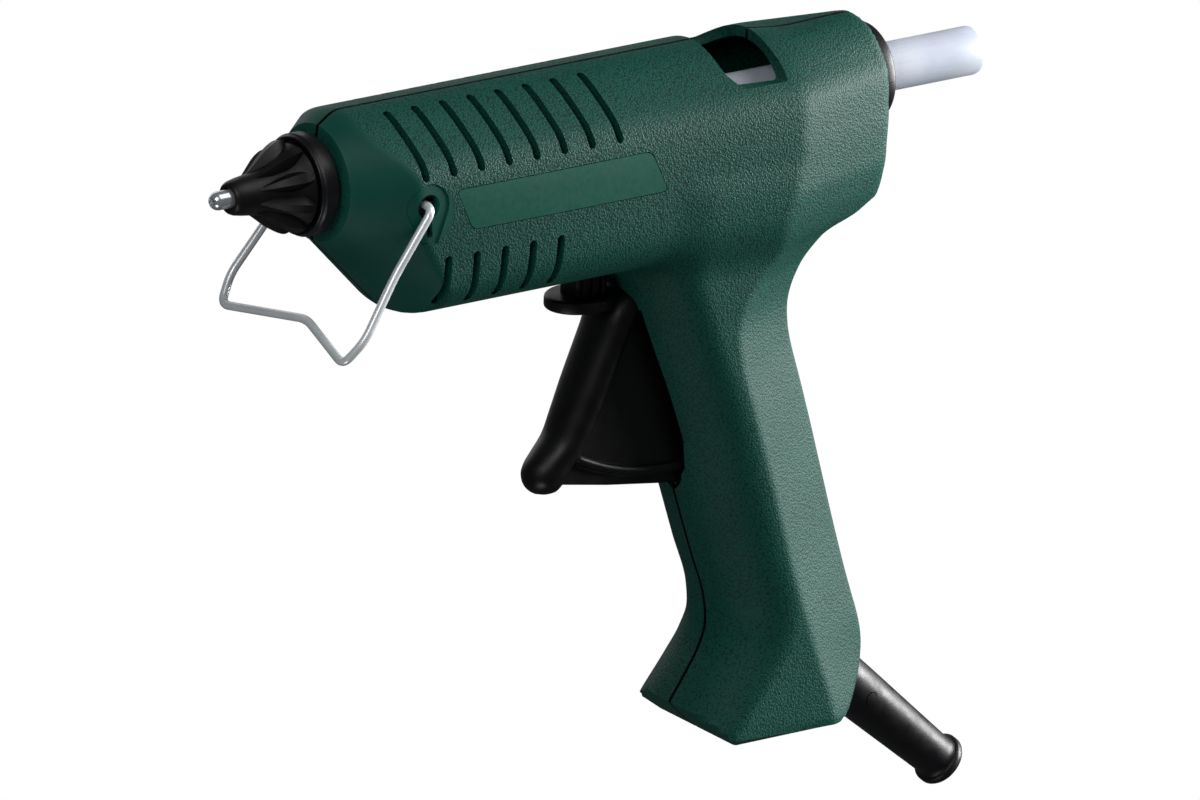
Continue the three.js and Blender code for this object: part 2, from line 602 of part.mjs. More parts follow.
/** Coiled compression spring between the trigger's tail and the housing seat. */
class Coil extends THREE.Curve {
  getPoint(t, target = new THREE.Vector3()) {
    const a = t * SPRING.turns * 2 * Math.PI;
    const [x, z] = springPoint(SPRING.arm + SPRING.coilRadius * Math.cos(a),
      SPRING.wireRadius + t * (SPRING.length - 2 * SPRING.wireRadius));
    return target.set(x, SPRING.coilRadius * Math.sin(a), z);
  }
}

/** Solid swept along a curve with a round section. */
function swept(curve, radius, sides, steps) {
  const section = [];
  for (let i = 0; i < sides; i += 1) {
    const a = (i * 2 * Math.PI) / sides;
    section.push(new THREE.Vector2(radius * Math.cos(a), radius * Math.sin(a)));
  }
  const options = { steps, extrudePath: curve, bevelEnabled: false };
  return solid(new THREE.ExtrudeGeometry(new THREE.Shape(section), options));
}

/** Straight runs joined by rounded corners. */
function bentPath(points, bend) {
  const corners = points.map((p) => new THREE.Vector3(...p));
  const path = new THREE.CurvePath();
  let from = corners[0];
  for (let i = 1; i < corners.length - 1; i += 1) {
    const into = corners[i - 1].clone().sub(corners[i]);
    const out = corners[i + 1].clone().sub(corners[i]);
    const trim = Math.min(bend, into.length() * 0.48, out.length() * 0.48);
    const start = corners[i].clone().addScaledVector(into.normalize(), trim);
    const end = corners[i].clone().addScaledVector(out.normalize(), trim);
    path.add(new THREE.LineCurve3(from, start));
    path.add(new THREE.QuadraticBezierCurve3(start, corners[i], end));
    from = end;
  }
  path.add(new THREE.LineCurve3(from, corners.at(-1)));
  return path;
}

/** Wire stand swung down until its feet meet the standing plane. */
function wireStand() {
  const tilt = radians(TILT);
  const s = STAND;
  const pivotHeight = s.x * Math.sin(tilt) + s.z * Math.cos(tilt);
  const drop = (pivotHeight - STAND_PLANE - s.wireRadius) / (s.length - s.cornerCut);
  const angle = Math.PI / 2 - tilt + Math.acos(drop);
  const at = (along, y) => [s.x - along * Math.cos(angle), y, s.z - along * Math.sin(angle)];
  const half = [at(0, s.inner), at(0, s.legHalf), at(17, s.legHalf), at(33, s.legHalf + 2),
    at(s.length, s.legHalf - 0.4), at(s.length - 1, 8), at(s.length - 5.5, 0)];
  const other = half.slice(0, -1).reverse().map(([x, y, z]) => [x, -y, z]);
  return swept(bentPath([...half, ...other], 2.6), s.wireRadius, 8, 64);
}

/** Guide bush that the stick enters at the back. */
function rearBush() {
  const b = BUSH;
  const wallBack = BARREL.rear;
  const bore = STICK.radius + 0.4;
  return ring([[wallBack - WALL - 2.6, bore], [wallBack - WALL - 2.6, b.flange],
    [wallBack - WALL - GAP, b.flange], [wallBack - WALL - GAP, b.spigot], [wallBack + GAP, b.spigot],
    [wallBack + GAP, b.radius], [b.rear - 0.6, b.radius], [b.rear, b.radius - 0.6],
    [b.rear, bore + 0.8], [b.rear - 1, bore]]);
}

// ---------------------------------------------------------------- mains parts in the grip
/** Rubber bend protector with a through bore for the cord. */
function bendProtector() {
  const b = BOOT;
  const profile = [[-4, b.bore], [-4, b.flange], [-1.3, b.flange], [-1.3, b.neck], [5.1, b.neck],
    [5.1, 6.45], [b.end - 4, 5], [b.end - 2.4, 5], [b.end - 2, 6.15], [b.end, 6.15], [b.end, b.bore]];
  const points = [...profile, profile[0]].map(([s, r]) => new THREE.Vector2(r, s));
  const geometry = new THREE.LatheGeometry(points, 24);
  geometry.rotateZ(-Math.PI / 2);
  geometry.rotateY(-radians(b.angle));
  geometry.translate(b.x, 0, b.z);
  return solid(geometry);
}

/** Bar that holds the cord down, and one of its screws. */
function cordClamp() {
  const corner = (along, across) => cordPoint(CLAMP.along + along, across);
  const half = CLAMP.length / 2;
  const bar = [corner(-half, -CLAMP.reach), corner(half, -CLAMP.reach), corner(half, CLAMP.reach),
    corner(-half, CLAMP.reach)];
  let clamp = prism(bar, 'y', CLAMP.under, CLAMP.under + CLAMP.thickness);
  for (const across of [-CLAMP.screwAt, CLAMP.screwAt]) {
    const [x, z] = cordPoint(CLAMP.along, across);
    clamp = clamp.subtract(crossRod(x, z, 0, 12, 1.3, 12));
  }
  return clamp;
}

/** Pan-head screw along y with its head seated at a height. */
function screwSolid(x, z, seat, length, headRadius, shankRadius) {
  const head = crossRod(x, z, seat + GAP, seat + GAP + SCREW.headHeight, headRadius, 20);
  return head.add(crossRod(x, z, seat - length, seat + GAP + 0.5, shankRadius, 12));
}

/** Two-pole terminal block with wire holes and screw wells. */
function terminalBlock() {
  const t = TERMINAL;
  let block = box(t.x - t.length / 2, t.x + t.length / 2, -t.halfWidth, t.halfWidth,
    t.z - t.height / 2, t.z + t.height / 2);
  for (const pole of [-1, 1]) {
    const x = t.x + pole * 4.5;
    block = block.subtract(rod([x, 0, t.z - 10], [x, 0, t.z + 10], 1.6, 12));
    block = block.subtract(crossRod(x, t.z, 1.2, t.halfWidth + 1, 2, 14));
  }
  return block;
}

/** Insulated lead from the terminal block to the heater, on one side. */
function heaterLead(side) {
  const t = TERMINAL;
  const x = t.x + side * 4.5;
  const route = [[x, 0, t.z + t.height / 2 + GAP], [133 + side, side * 3, -108], [130, side * 10, -94],
    [122, side * 10.5, -64], [119.5, side * 11, -40], [117, side * 11.4, -25.5],
    [110, side * 16.6, -13], [98, side * 16.8, -9], [70, side * 16.4, -9], [57, side * 14, -14],
    [51, side * 4, -13],
    [BLOCK.rear - 1 + GAP, side * 4, -13]];
  return swept(bentPath(route, 4), LEAD_RADIUS, 6, 48);
}

// ---------------------------------------------------------------- assembly
const tool = new THREE.Group();
const add = (name, body, material) => tool.add(piece(name, body, material));

add('left_housing', housingHalf(-1), greenPlastic());
add('right_housing', housingHalf(1), greenPlastic());
add('left_badge', badge(-1), badgePlastic());
add('right_badge', badge(1), badgePlastic());
add('front_collar', frontCollar(), blackPlastic());
add('nozzle', nozzle(), aluminium());
add('nozzle_cap', nozzleCap(), blackRubber());
add('melt_chamber', meltChamber(), aluminium());
add('heater_element', heaterElement(), ceramic());
RING_STARTS.forEach((start, i) => {
  add(`${['front', 'rear'][i]}_support_ring`, supportRing(start), ceramic());
});
add('inlet_sleeve', inletSleeve(), redSilicone());
add('sleeve_clamp', sleeveClamp(), zincSteel());
add('glue_stick', glueStick(), gluePlastic());
add('feed_carriage', feedCarriage(), blackPlastic());
add('grip_pawl', gripPawl(), zincSteel());
const pinHalf = CARRIAGE.halfWidth - 0.2;
add('pawl_pin', crossRod(PAWL.x, PAWL.z, -pinHalf, pinHalf, PAWL.pinRadius, 16), zincSteel());
add('trigger', trigger(), blackPlastic());
add('trigger_pin', crossRod(TRIGGER_PIVOT.x, TRIGGER_PIVOT.z, -18.5, 18.5, TRIGGER.pinRadius, 20), zincSteel());
add('return_spring', swept(new Coil(), SPRING.wireRadius, 6, SPRING.turns * 10), zincSteel());
add('wire_stand', wireStand(), zincSteel());
add('rear_bush', rearBush(), blackPlastic());
add('bend_protector', bendProtector(), blackRubber());
add('cord_clamp', cordClamp(), blackPlastic());
[-CLAMP.screwAt, CLAMP.screwAt].forEach((across, i) => {
  const [x, z] = cordPoint(CLAMP.along, across);
  const seat = CLAMP.under + CLAMP.thickness;
  add(`cord_clamp_screw_${i + 1}`, screwSolid(x, z, seat, 10, 2.4, 0.8), zincSteel());
});
add('terminal_block', terminalBlock(), ceramic());
[-1, 1].forEach((pole, i) => {
  const x = TERMINAL.x + pole * 4.5;
  add(`terminal_screw_${i + 1}`, crossRod(x, TERMINAL.z, 1.5, TERMINAL.halfWidth - 0.5, 1.7, 14), brass());
});
add('live_lead', heaterLead(-1), redSilicone());
add('neutral_lead', heaterLead(1), blackRubber());
for (const place of SCREW_PLACES) {
  const body = screwSolid(place.x, place.z, place.seat, SCREW.length, SCREW.headRadius, SCREW.shankRadius);
  add(`${place.name}_screw`, body, zincSteel());
}

tool.rotation.y = -radians(TILT);
const glueGun = new THREE.Group();
glueGun.add(tool);
glueGun.updateMatrixWorld(true);
const bounds = new THREE.Box3().setFromObject(tool, true);
const middle = bounds.getCenter(new THREE.Vector3());
tool.position.set(-middle.x, -middle.y, -bounds.min.z);

export default glueGun;
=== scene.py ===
"""Looks of a mains hot-melt glue gun that stands nose-down on its wire stand and the heel of its grip.

Every piece is modelled in the tool frame, in millimetres: x runs back along the glue stick from the
housing's front face, y to the gun's right, z up, with the stick's axis at y = z = 0. A finished piece is
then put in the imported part's frame, in metres, with its place in its mesh.
"""

import logging
import math
from collections.abc import Callable, Sequence
from dataclasses import dataclass, field
from enum import Enum

import bpy
import numpy as np
from mathutils import Matrix, Vector


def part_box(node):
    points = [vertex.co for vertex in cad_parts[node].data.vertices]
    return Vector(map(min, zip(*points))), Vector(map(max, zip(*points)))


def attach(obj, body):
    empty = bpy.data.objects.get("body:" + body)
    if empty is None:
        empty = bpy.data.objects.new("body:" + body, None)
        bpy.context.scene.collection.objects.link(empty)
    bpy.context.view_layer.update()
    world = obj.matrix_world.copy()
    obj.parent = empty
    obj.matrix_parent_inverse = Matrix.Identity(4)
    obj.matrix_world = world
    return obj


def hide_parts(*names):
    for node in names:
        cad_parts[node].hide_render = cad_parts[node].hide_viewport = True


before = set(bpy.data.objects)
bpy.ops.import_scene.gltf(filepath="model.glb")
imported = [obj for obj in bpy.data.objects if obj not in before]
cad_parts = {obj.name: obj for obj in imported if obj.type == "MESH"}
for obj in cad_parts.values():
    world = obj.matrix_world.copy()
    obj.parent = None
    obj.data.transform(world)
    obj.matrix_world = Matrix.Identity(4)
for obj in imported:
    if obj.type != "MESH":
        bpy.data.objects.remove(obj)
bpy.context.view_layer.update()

LOG = logging.getLogger("glue_gun")

TILT = math.radians(43)  # nose-down standing angle
MM = 0.001
STICK_MIDDLE = 119.0  # middle of the glue stick along x
WALL = 2.5  # housing wall
PARTING = 0.32  # half of the gap between the housing halves
FLANK_END = 40.0  # how far out the tools that cut a flank reach
SMOOTH_LIMIT = math.radians(34)  # edges flatter than this are shaded smooth
ROUND_LIMIT = math.radians(50)  # the same for soft rubber and glue

Point = tuple[float, float]
Array = np.ndarray


class Side(Enum):
    """The two flanks of the gun."""

    LEFT = -1
    RIGHT = 1


class Cut(Enum):
    """What one solid does to another."""

    TAKE_AWAY = "DIFFERENCE"
    KEEP_COMMON = "INTERSECT"
    ADD = "UNION"


class Flat(Enum):
    """The plane that an outline is drawn in: its two axes."""

    SIDE = "xz"
    PLAN = "xy"


# ---------------------------------------------------------------- frame


def tool_to_part() -> Matrix:
    """Matrix from the tool frame in millimetres to the part's frame in metres.

    Returns:
        The matrix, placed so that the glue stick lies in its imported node.
    """
    low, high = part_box("glue_stick")
    turn = Matrix.Rotation(-TILT, 4, "Y") @ Matrix.Scale(MM, 4)
    middle = (low + high) / 2
    return Matrix.Translation(middle - turn @ Vector((STICK_MIDDLE, 0, 0))) @ turn


TO_PART = tool_to_part()
TO_TOOL = TO_PART.inverted()


# ---------------------------------------------------------------- bench work


def deselect_all() -> None:
    """Leave nothing selected."""
    if bpy.context.mode != "OBJECT":
        bpy.ops.object.mode_set(mode="OBJECT")
    bpy.ops.object.select_all(action="DESELECT")


def pick(piece: bpy.types.Object) -> None:
    """Select one piece alone and make it active.

    Args:
        piece: The piece.
    """
    deselect_all()
    piece.select_set(True)
    bpy.context.view_layer.objects.active = piece


def corners_of(piece: bpy.types.Object) -> Array:
    """Corner points of a piece's mesh.

    Args:
        piece: The piece.

    Returns:
        Rows of x, y, z.
    """
    flat = np.empty(len(piece.data.vertices) * 3)
    piece.data.vertices.foreach_get("co", flat)
    return flat.reshape(-1, 3)


def set_corners(piece: bpy.types.Object, points: Array) -> None:
    """Move a mesh's corners to new points."""
    piece.data.vertices.foreach_set("co", np.ascontiguousarray(points, float).ravel())
    piece.data.update()


def apply_modifier(piece: bpy.types.Object, kind: str, **settings: object) -> None:
    """Add a modifier, set it and apply it.

    Args:
        piece: The piece that it works on.
        kind: Blender's name of the modifier.
        settings: Its properties by name.
    """
    pick(piece)
    modifier = piece.modifiers.new(kind.title(), kind)
    for name, value in settings.items():
        setattr(modifier, name, value)
    bpy.ops.object.modifier_apply(modifier=modifier.name)


def combine(piece: bpy.types.Object, other: bpy.types.Object, cut: Cut, keep: bool = False) -> None:
    """Cut or join two solids.

    Args:
        piece: The solid that is changed.
        other: The solid that changes it.
        cut: What is done.
        keep: Whether the other solid stays.
    """
    apply_modifier(piece, "BOOLEAN", object=other, operation=cut.value, solver="MANIFOLD")
    if not keep:
        bpy.data.objects.remove(other)


def copy_of(piece: bpy.types.Object, name: str) -> bpy.types.Object:
    """A copy with its own mesh.

    Args:
        piece: The piece that is copied.
        name: Name of the copy.

    Returns:
        The copy.
    """
    twin = piece.copy()
    twin.data = piece.data.copy()
    twin.name = name
    bpy.context.scene.collection.objects.link(twin)
    return twin


def join(pieces: Sequence[bpy.types.Object]) -> bpy.types.Object:
    """Join pieces into the first one.

    Args:
        pieces: The pieces.

    Returns:
        The first piece, which now holds them all.
    """
    pick(pieces[0])
    for piece in pieces:
        piece.select_set(True)
    if len(pieces) > 1:
        bpy.ops.object.join()
    return pieces[0]


def clean(piece: bpy.types.Object, distance: float = 1e-4) -> None:
    """Merge doubled corners and turn the faces outwards.

    Args:
        piece: The piece.
        distance: Corners closer than this are merged.
    """
    pick(piece)
    bpy.ops.object.mode_set(mode="EDIT")
    bpy.ops.mesh.select_all(action="SELECT")
    bpy.ops.mesh.remove_doubles(threshold=distance)
    bpy.ops.mesh.normals_make_consistent(inside=False)
    bpy.ops.object.mode_set(mode="OBJECT")


def close_rims(
    piece: bpy.types.Object, tool: Callable[..., object], distance: float = 1e-4, **settings: object
) -> None:
    """Close a mesh's open rims with one edit tool, then clean it.

    Args:
        piece: The piece with open rims.
        tool: The edit tool, run with the rims selected.
        distance: Corners closer than this are merged.
        settings: The tool's settings by name.
    """
    pick(piece)
    bpy.ops.object.mode_set(mode="EDIT")
    bpy.ops.mesh.select_all(action="DESELECT")
    bpy.ops.mesh.select_non_manifold()
    tool(**settings)
    bpy.ops.object.mode_set(mode="OBJECT")
    clean(piece, distance)


def net(name: str, points: Array) -> bpy.types.Object:
    """Grid whose corners are moved to new points.

    Args:
        name: Name of the piece.
        points: Rows by columns by three coordinates.

    Returns:
        The open net.
    """
    rows, columns = points.shape[:2]
    deselect_all()
    bpy.ops.mesh.primitive_grid_add(x_subdivisions=columns - 1, y_subdivisions=rows - 1, size=2)
    piece = bpy.context.object
    piece.name = name
    set_corners(piece, points.reshape(-1, 3))
    return piece


def drawn_in(piece: bpy.types.Object, name: str, depth: float) -> bpy.types.Object:
    """A copy whose skin lies deeper.

    Args:
        piece: The piece that is copied.
        name: Name of the copy.
        depth: How far its skin is drawn in.

    Returns:
        The copy.
    """
    inner = copy_of(piece, name)
    pick(inner)
    bpy.ops.object.mode_set(mode="EDIT")
    bpy.ops.mesh.select_all(action="SELECT")
    bpy.ops.transform.shrink_fatten(value=-depth)
    bpy.ops.object.mode_set(mode="OBJECT")
    return inner


def shift(piece: bpy.types.Object, matrix: Matrix) -> bpy.types.Object:
    """Turn or move a piece's mesh by a matrix.

    Args:
        piece: The piece.
        matrix: The matrix, which may mirror.

    Returns:
        The same piece.
    """
    piece.data.transform(matrix)
    if matrix.determinant() < 0:
        piece.data.flip_normals()
    piece.data.update()
    return piece


def rounded(corners: Sequence[tuple[float, float, float]], steps: int = 5) -> list[Point]:
    """Closed outline with rounded corners.

    Args:
        corners: Each corner's two coordinates and the length that its rounding takes of each side.
        steps: Points for each rounding.

    Returns:
        The outline's points.
    """
    points: list[Point] = []
    spots = [np.array(c[:2]) for c in corners]
    for i, (here, spec) in enumerate(zip(spots, corners)):
        before, after = spots[i - 1], spots[(i + 1) % len(spots)]
        trim = [min(spec[2], 0.48 * np.linalg.norm(end - here)) for end in (before, after)]
        if min(trim) < 1e-3:
            points.append(tuple(here))
            continue
        start = here + (before - here) / np.linalg.norm(before - here) * trim[0]
        end = here + (after - here) / np.linalg.norm(after - here) * trim[1]
        for k in range(steps + 1):
            t = k / steps
            points.append(tuple((1 - t) ** 2 * start + 2 * t * (1 - t) * here + t * t * end))
    return points


def plain(outline: Sequence[Point], radius: float = 0.0, steps: int = 5) -> list[Point]:
    """Closed outline with one rounding at every corner."""
    return rounded([(a, b, radius) for a, b in outline], steps)


def plate(
    name: str, outline: Sequence[Point], flat: Flat, start: float, end: float
) -> bpy.types.Object:
    """Straight plate: a disc whose rim is pulled to an outline, then extruded.

    Args:
        name: Name of the piece.
        outline: Points of the outline in the plane's two axes.
        flat: The plane that it is drawn in.
        start: Where it starts on the third axis.
        end: Where it ends on the third axis.

    Returns:
        The closed plate.
    """
    deselect_all()
    bpy.ops.mesh.primitive_circle_add(vertices=len(outline), radius=1, fill_type="NGON")
    piece = bpy.context.object
    piece.name = name
    axes = ["xyz".index(axis) for axis in flat.value]
    third = 3 - sum(axes)
    points = np.zeros((len(outline), 3))
    points[:, axes] = outline
    points[:, third] = start
    set_corners(piece, points)
    move = [0.0, 0.0, 0.0]
    move[third] = end - start
    bpy.ops.object.mode_set(mode="EDIT")
    bpy.ops.mesh.select_all(action="SELECT")
    bpy.ops.mesh.extrude_region_move(TRANSFORM_OT_translate={"value": move})
    bpy.ops.object.mode_set(mode="OBJECT")
    clean(piece)
    return piece


def turned(
    name: str, profile: Sequence[Point], sides: int = 64, ring: bool = False
) -> bpy.types.Object:
    """Turned piece about x: a circle extruded and resized from station to station.

    Args:
        name: Name of the piece.
        profile: Distance along and radius at each station.
        sides: Sides of the circle.
        ring: Whether the last station meets the first, which leaves a bore.

    Returns:
        The closed piece.
    """
    stations = [*profile, profile[0]] if ring else list(profile)
    along, radius = stations[0]
    deselect_all()
    fill = "NOTHING" if ring else "NGON"
    place = (0, 0, along)
    bpy.ops.mesh.primitive_circle_add(vertices=sides, radius=radius, fill_type=fill, location=place)
    piece = bpy.context.object
    piece.name = name
    pick(piece)
    bpy.ops.object.transform_apply(location=True, rotation=False, scale=False)
    bpy.ops.object.mode_set(mode="EDIT")
    bpy.ops.mesh.select_all(action="SELECT")
    for next_along, next_radius in stations[1:]:
        step = {"value": (0, 0, next_along - along)}
        if ring:
            bpy.ops.mesh.extrude_edges_move(TRANSFORM_OT_translate=step)
        else:
            bpy.ops.mesh.extrude_region_move(TRANSFORM_OT_translate=step)
        share = next_radius / radius
        middle = (0, 0, next_along)
        bpy.ops.transform.resize(value=(share, share, 1), center_override=middle)
        along, radius = next_along, next_radius
    bpy.ops.object.mode_set(mode="OBJECT")
    clean(piece)
    return shift(piece, Matrix.Rotation(math.radians(90), 4, "Y"))


def wire(
    name: str, points: Sequence[Sequence[float]], radius: float, sides: int = 4
) -> bpy.types.Object:
    """Round wire along points, with closed ends.

    Args:
        name: Name of the piece.
        points: The points that it runs through.
        radius: Radius of the wire.
        sides: Steps of each quarter of its section.

    Returns:
        The wire as a mesh.
    """
    curve = bpy.data.curves.new(name, "CURVE")
    curve.dimensions = "3D"
    spline = curve.splines.new("POLY")
    spline.points.add(len(points) - 1)
    for spot, point in zip(spline.points, points):
        spot.co = (*point, 1)
    curve.bevel_depth = radius
    curve.bevel_resolution = sides
    curve.use_fill_caps = True
    piece = bpy.data.objects.new(name, curve)
    bpy.context.scene.collection.objects.link(piece)
    pick(piece)
    bpy.ops.object.convert(target="MESH")
    clean(piece)
    return piece


def bar(
    name: str, start: Sequence[float], end: Sequence[float], radius: float, sides: int = 40
) -> bpy.types.Object:
    """Round bar between two points, as a tool for cutting and joining.

    Args:
        name: Name of the piece.
        start: Middle of one end.
        end: Middle of the other end.
        radius: Radius of the bar.
        sides: Sides of its section.

    Returns:
        The bar.
    """
    begin, stop = Vector(start), Vector(end)
    run = stop - begin
    piece = turned(name, [(0, radius), (run.length, radius)], sides)
    turn = run.to_track_quat("X", "Z").to_matrix().to_4x4()
    return shift(piece, Matrix.Translation(begin) @ turn)


def bent(points: Sequence[Sequence[float]], bend: float, steps: int = 8) -> list[Vector]:
    """Straight runs joined by rounded corners.

    Args:
        points: Corner points of the path.
        bend: Length that each rounding takes of a run.
        steps: Points for each rounding.

    Returns:
        The points of the smooth path.
    """
    spots = [Vector(p) for p in points]
    path = [spots[0]]
    for before, here, after in zip(spots, spots[1:], spots[2:]):
        into, out = before - here, after - here
        trim = min(bend, 0.48 * into.length, 0.48 * out.length)
        start, end = here + into.normalized() * trim, here + out.normalized() * trim
        for k in range(steps + 1):
            t = k / steps
            path.append(start * (1 - t) ** 2 + here * (2 * t * (1 - t)) + end * t * t)
    return [*path, spots[-1]]


def soften(piece: bpy.types.Object, width: float, segments: int = 3, angle: float = 40) -> None:
    """Round a piece's sharp edges.

    Args:
        piece: The piece.
        width: Width of the rounding.
        segments: Its steps.
        angle: Edges sharper than this many degrees are rounded.
    """
    apply_modifier(
        piece,
        "BEVEL",
        width=width,
        segments=segments,
        limit_method="ANGLE",
        angle_limit=math.radians(angle),
        use_clamp_overlap=True,
        harden_normals=False,
    )


# ---------------------------------------------------------------- finishes


@dataclass(frozen=True)
class Finish:
    """A material and the record's slot that it stands for."""

    slot: str
    build: Callable[["Wiring"], None]
    metallic: float = 0.0
    specular: float = 0.5
    subsurface: float = 0.0

    def material(self) -> bpy.types.Material:
        """The finish's material, made once.

        Returns:
            The material.
        """
        name = f"finish_{self.slot}"
        if name in bpy.data.materials:
            return bpy.data.materials[name]
        material = bpy.data.materials.new(name)
        material.use_nodes = True
        wiring = Wiring(material.node_tree)
        shader = wiring.shader.inputs
        shader["Metallic"].default_value = self.metallic
        shader["Specular IOR Level"].default_value = self.specular
        if self.subsurface:
            shader["Subsurface Weight"].default_value = self.subsurface
            shader["Subsurface Radius"].default_value = (0.9, 1.0, 1.1)
            shader["Subsurface Scale"].default_value = 0.002
        self.build(wiring)
        return material


class Wiring:
    """Lays nodes out in one tree."""

    def __init__(self, tree: bpy.types.NodeTree) -> None:
        """Start on a tree and find its shader, if it has one."""
        self.tree = tree
        self.shader = tree.nodes.get("Principled BSDF")

    def node(self, kind: str, **settings: object) -> bpy.types.Node:
        """Add a node.

        Args:
            kind: Its type after ShaderNode.
            settings: Its properties, or with a leading in_, the inputs of that name.

        Returns:
            The node.
        """
        node = self.tree.nodes.new(f"ShaderNode{kind}")
        for name, value in settings.items():
            if name.startswith("in_"):
                node.inputs[name[3:].replace("_", " ")].default_value = value
            else:
                setattr(node, name, value)
        return node

    def link(self, source: bpy.types.NodeSocket, target: bpy.types.NodeSocket) -> None:
        """Join two sockets."""
        self.tree.links.new(source, target)

    def place(self) -> bpy.types.NodeSocket:
        """Object coordinates turned into the tool frame, in metres.

        Returns:
            The socket that gives them.
        """
        coordinates = self.node("TexCoord")
        mapping = self.node("Mapping")
        mapping.inputs["Rotation"].default_value = (0, TILT, 0)
        mapping.inputs["Location"].default_value = TO_TOOL.translation * MM
        self.link(coordinates.outputs["Object"], mapping.inputs["Vector"])
        return mapping.outputs[0]

    def noise(
        self, place: bpy.types.NodeSocket, size_mm: float, detail: float = 3
    ) -> bpy.types.NodeSocket:
        """Soft noise.

        Args:
            place: Where it is read.
            size_mm: Size of its features.
            detail: How many finer layers it has.

        Returns:
            The socket that gives it.
        """
        node = self.node("TexNoise", in_Scale=1 / (size_mm * MM), in_Detail=detail)
        self.link(place, node.inputs["Vector"])
        return node.outputs["Fac"]

    def spread(
        self, source: bpy.types.NodeSocket, low: float, high: float, out_low: float, out_high: float
    ) -> bpy.types.NodeSocket:
        """Move a range of values to another range, clamped.

        Args:
            source: The value.
            low: Start of its range.
            high: End of its range.
            out_low: What the start becomes.
            out_high: What the end becomes.

        Returns:
            The socket of the new value.
        """
        node = self.node("MapRange")
        names = ("From Min", "From Max", "To Min", "To Max")
        for name, value in zip(names, (low, high, out_low, out_high)):
            node.inputs[name].default_value = value
        self.link(source, node.inputs["Value"])
        return node.outputs[0]

    def math(
        self,
        operation: str,
        first: bpy.types.NodeSocket,
        second: bpy.types.NodeSocket | float,
    ) -> bpy.types.NodeSocket:
        """One sum on a value.

        Args:
            operation: Blender's name of the sum.
            first: The value.
            second: The other value, or a number.

        Returns:
            The socket of the result.
        """
        node = self.node("Math", operation=operation)
        self.link(first, node.inputs[0])
        if isinstance(second, float):
            node.inputs[1].default_value = second
        else:
            self.link(second, node.inputs[1])
        return node.outputs[0]

    def mix(
        self,
        share: bpy.types.NodeSocket,
        first: bpy.types.NodeSocket | Sequence[float],
        second: bpy.types.NodeSocket | Sequence[float],
    ) -> bpy.types.NodeSocket:
        """Blend of two colours.

        Args:
            share: How much of the second colour shows.
            first: The first colour.
            second: The second colour.

        Returns:
            The socket of the blend.
        """
        node = self.node("Mix", data_type="RGBA")
        self.link(share, node.inputs["Factor"])
        for socket, colour in ((node.inputs[6], first), (node.inputs[7], second)):
            if isinstance(colour, bpy.types.NodeSocket):
                self.link(colour, socket)
            else:
                socket.default_value = (*colour, 1)
        return node.outputs[2]

    def bump(self, height: bpy.types.NodeSocket, depth_mm: float, strength: float = 1.0) -> None:
        """Feed a height into the shader's normal.

        Args:
            height: The height, from 0 to 1.
            depth_mm: What a height of 1 stands for.
            strength: How much of the bump shows.
        """
        node = self.node("Bump", in_Strength=strength, in_Distance=depth_mm * MM)
        self.link(height, node.inputs["Height"])
        self.link(node.outputs[0], self.shader.inputs["Normal"])

    def length(
        self, first: bpy.types.NodeSocket, second: bpy.types.NodeSocket
    ) -> bpy.types.NodeSocket:
        """Length of two values at right angles.

        Args:
            first: One value.
            second: The other value.

        Returns:
            The socket of the length.
        """
        squares = self.math("POWER", first, 2.0), self.math("POWER", second, 2.0)
        return self.math("SQRT", self.math("ADD", *squares), 0.0)

    def squeezed(
        self, place: bpy.types.NodeSocket, scale: Sequence[float]
    ) -> bpy.types.NodeSocket:
        """Places scaled axis by axis, which draws a pattern out.

        Args:
            place: The places.
            scale: Scale on each axis.

        Returns:
            The socket of the scaled places.
        """
        mapping = self.node("Mapping")
        mapping.inputs["Scale"].default_value = scale
        self.link(place, mapping.inputs["Vector"])
        return mapping.outputs[0]

    def feed(self, source: bpy.types.NodeSocket, name: str) -> None:
        """Feed one of the shader's inputs."""
        self.link(source, self.shader.inputs[name])

    def group(
        self, tree: bpy.types.NodeTree, place: bpy.types.NodeSocket, **values: float
    ) -> bpy.types.Node:
        """Place a shared effect.

        Args:
            tree: The effect's group.
            place: Where its pattern is read.
            values: Its own settings by name.

        Returns:
            The group node.
        """
        node = self.tree.nodes.new("ShaderNodeGroup")
        node.node_tree = tree
        self.link(place, node.inputs["Place"])
        for name, value in values.items():
            node.inputs[name.replace("_", " ")].default_value = value
        return node


def new_group(
    name: str, inputs: dict[str, float], outputs: Sequence[str]
) -> tuple[Wiring, bpy.types.Node, bpy.types.Node]:
    """Start a shared effect.

    Args:
        name: Name of the group.
        inputs: Its settings and their usual values.
        outputs: Names of the values it gives.

    Returns:
        Wiring for the group, its input node and its output node.
    """
    tree = bpy.data.node_groups.new(name, "ShaderNodeTree")
    tree.interface.new_socket("Place", in_out="INPUT", socket_type="NodeSocketVector")
    for key, value in inputs.items():
        socket = tree.interface.new_socket(key, in_out="INPUT", socket_type="NodeSocketFloat")
        socket.default_value = value
    for key in outputs:
        tree.interface.new_socket(key, in_out="OUTPUT", socket_type="NodeSocketFloat")
    wiring = Wiring(tree)
    return wiring, tree.nodes.new("NodeGroupInput"), tree.nodes.new("NodeGroupOutput")


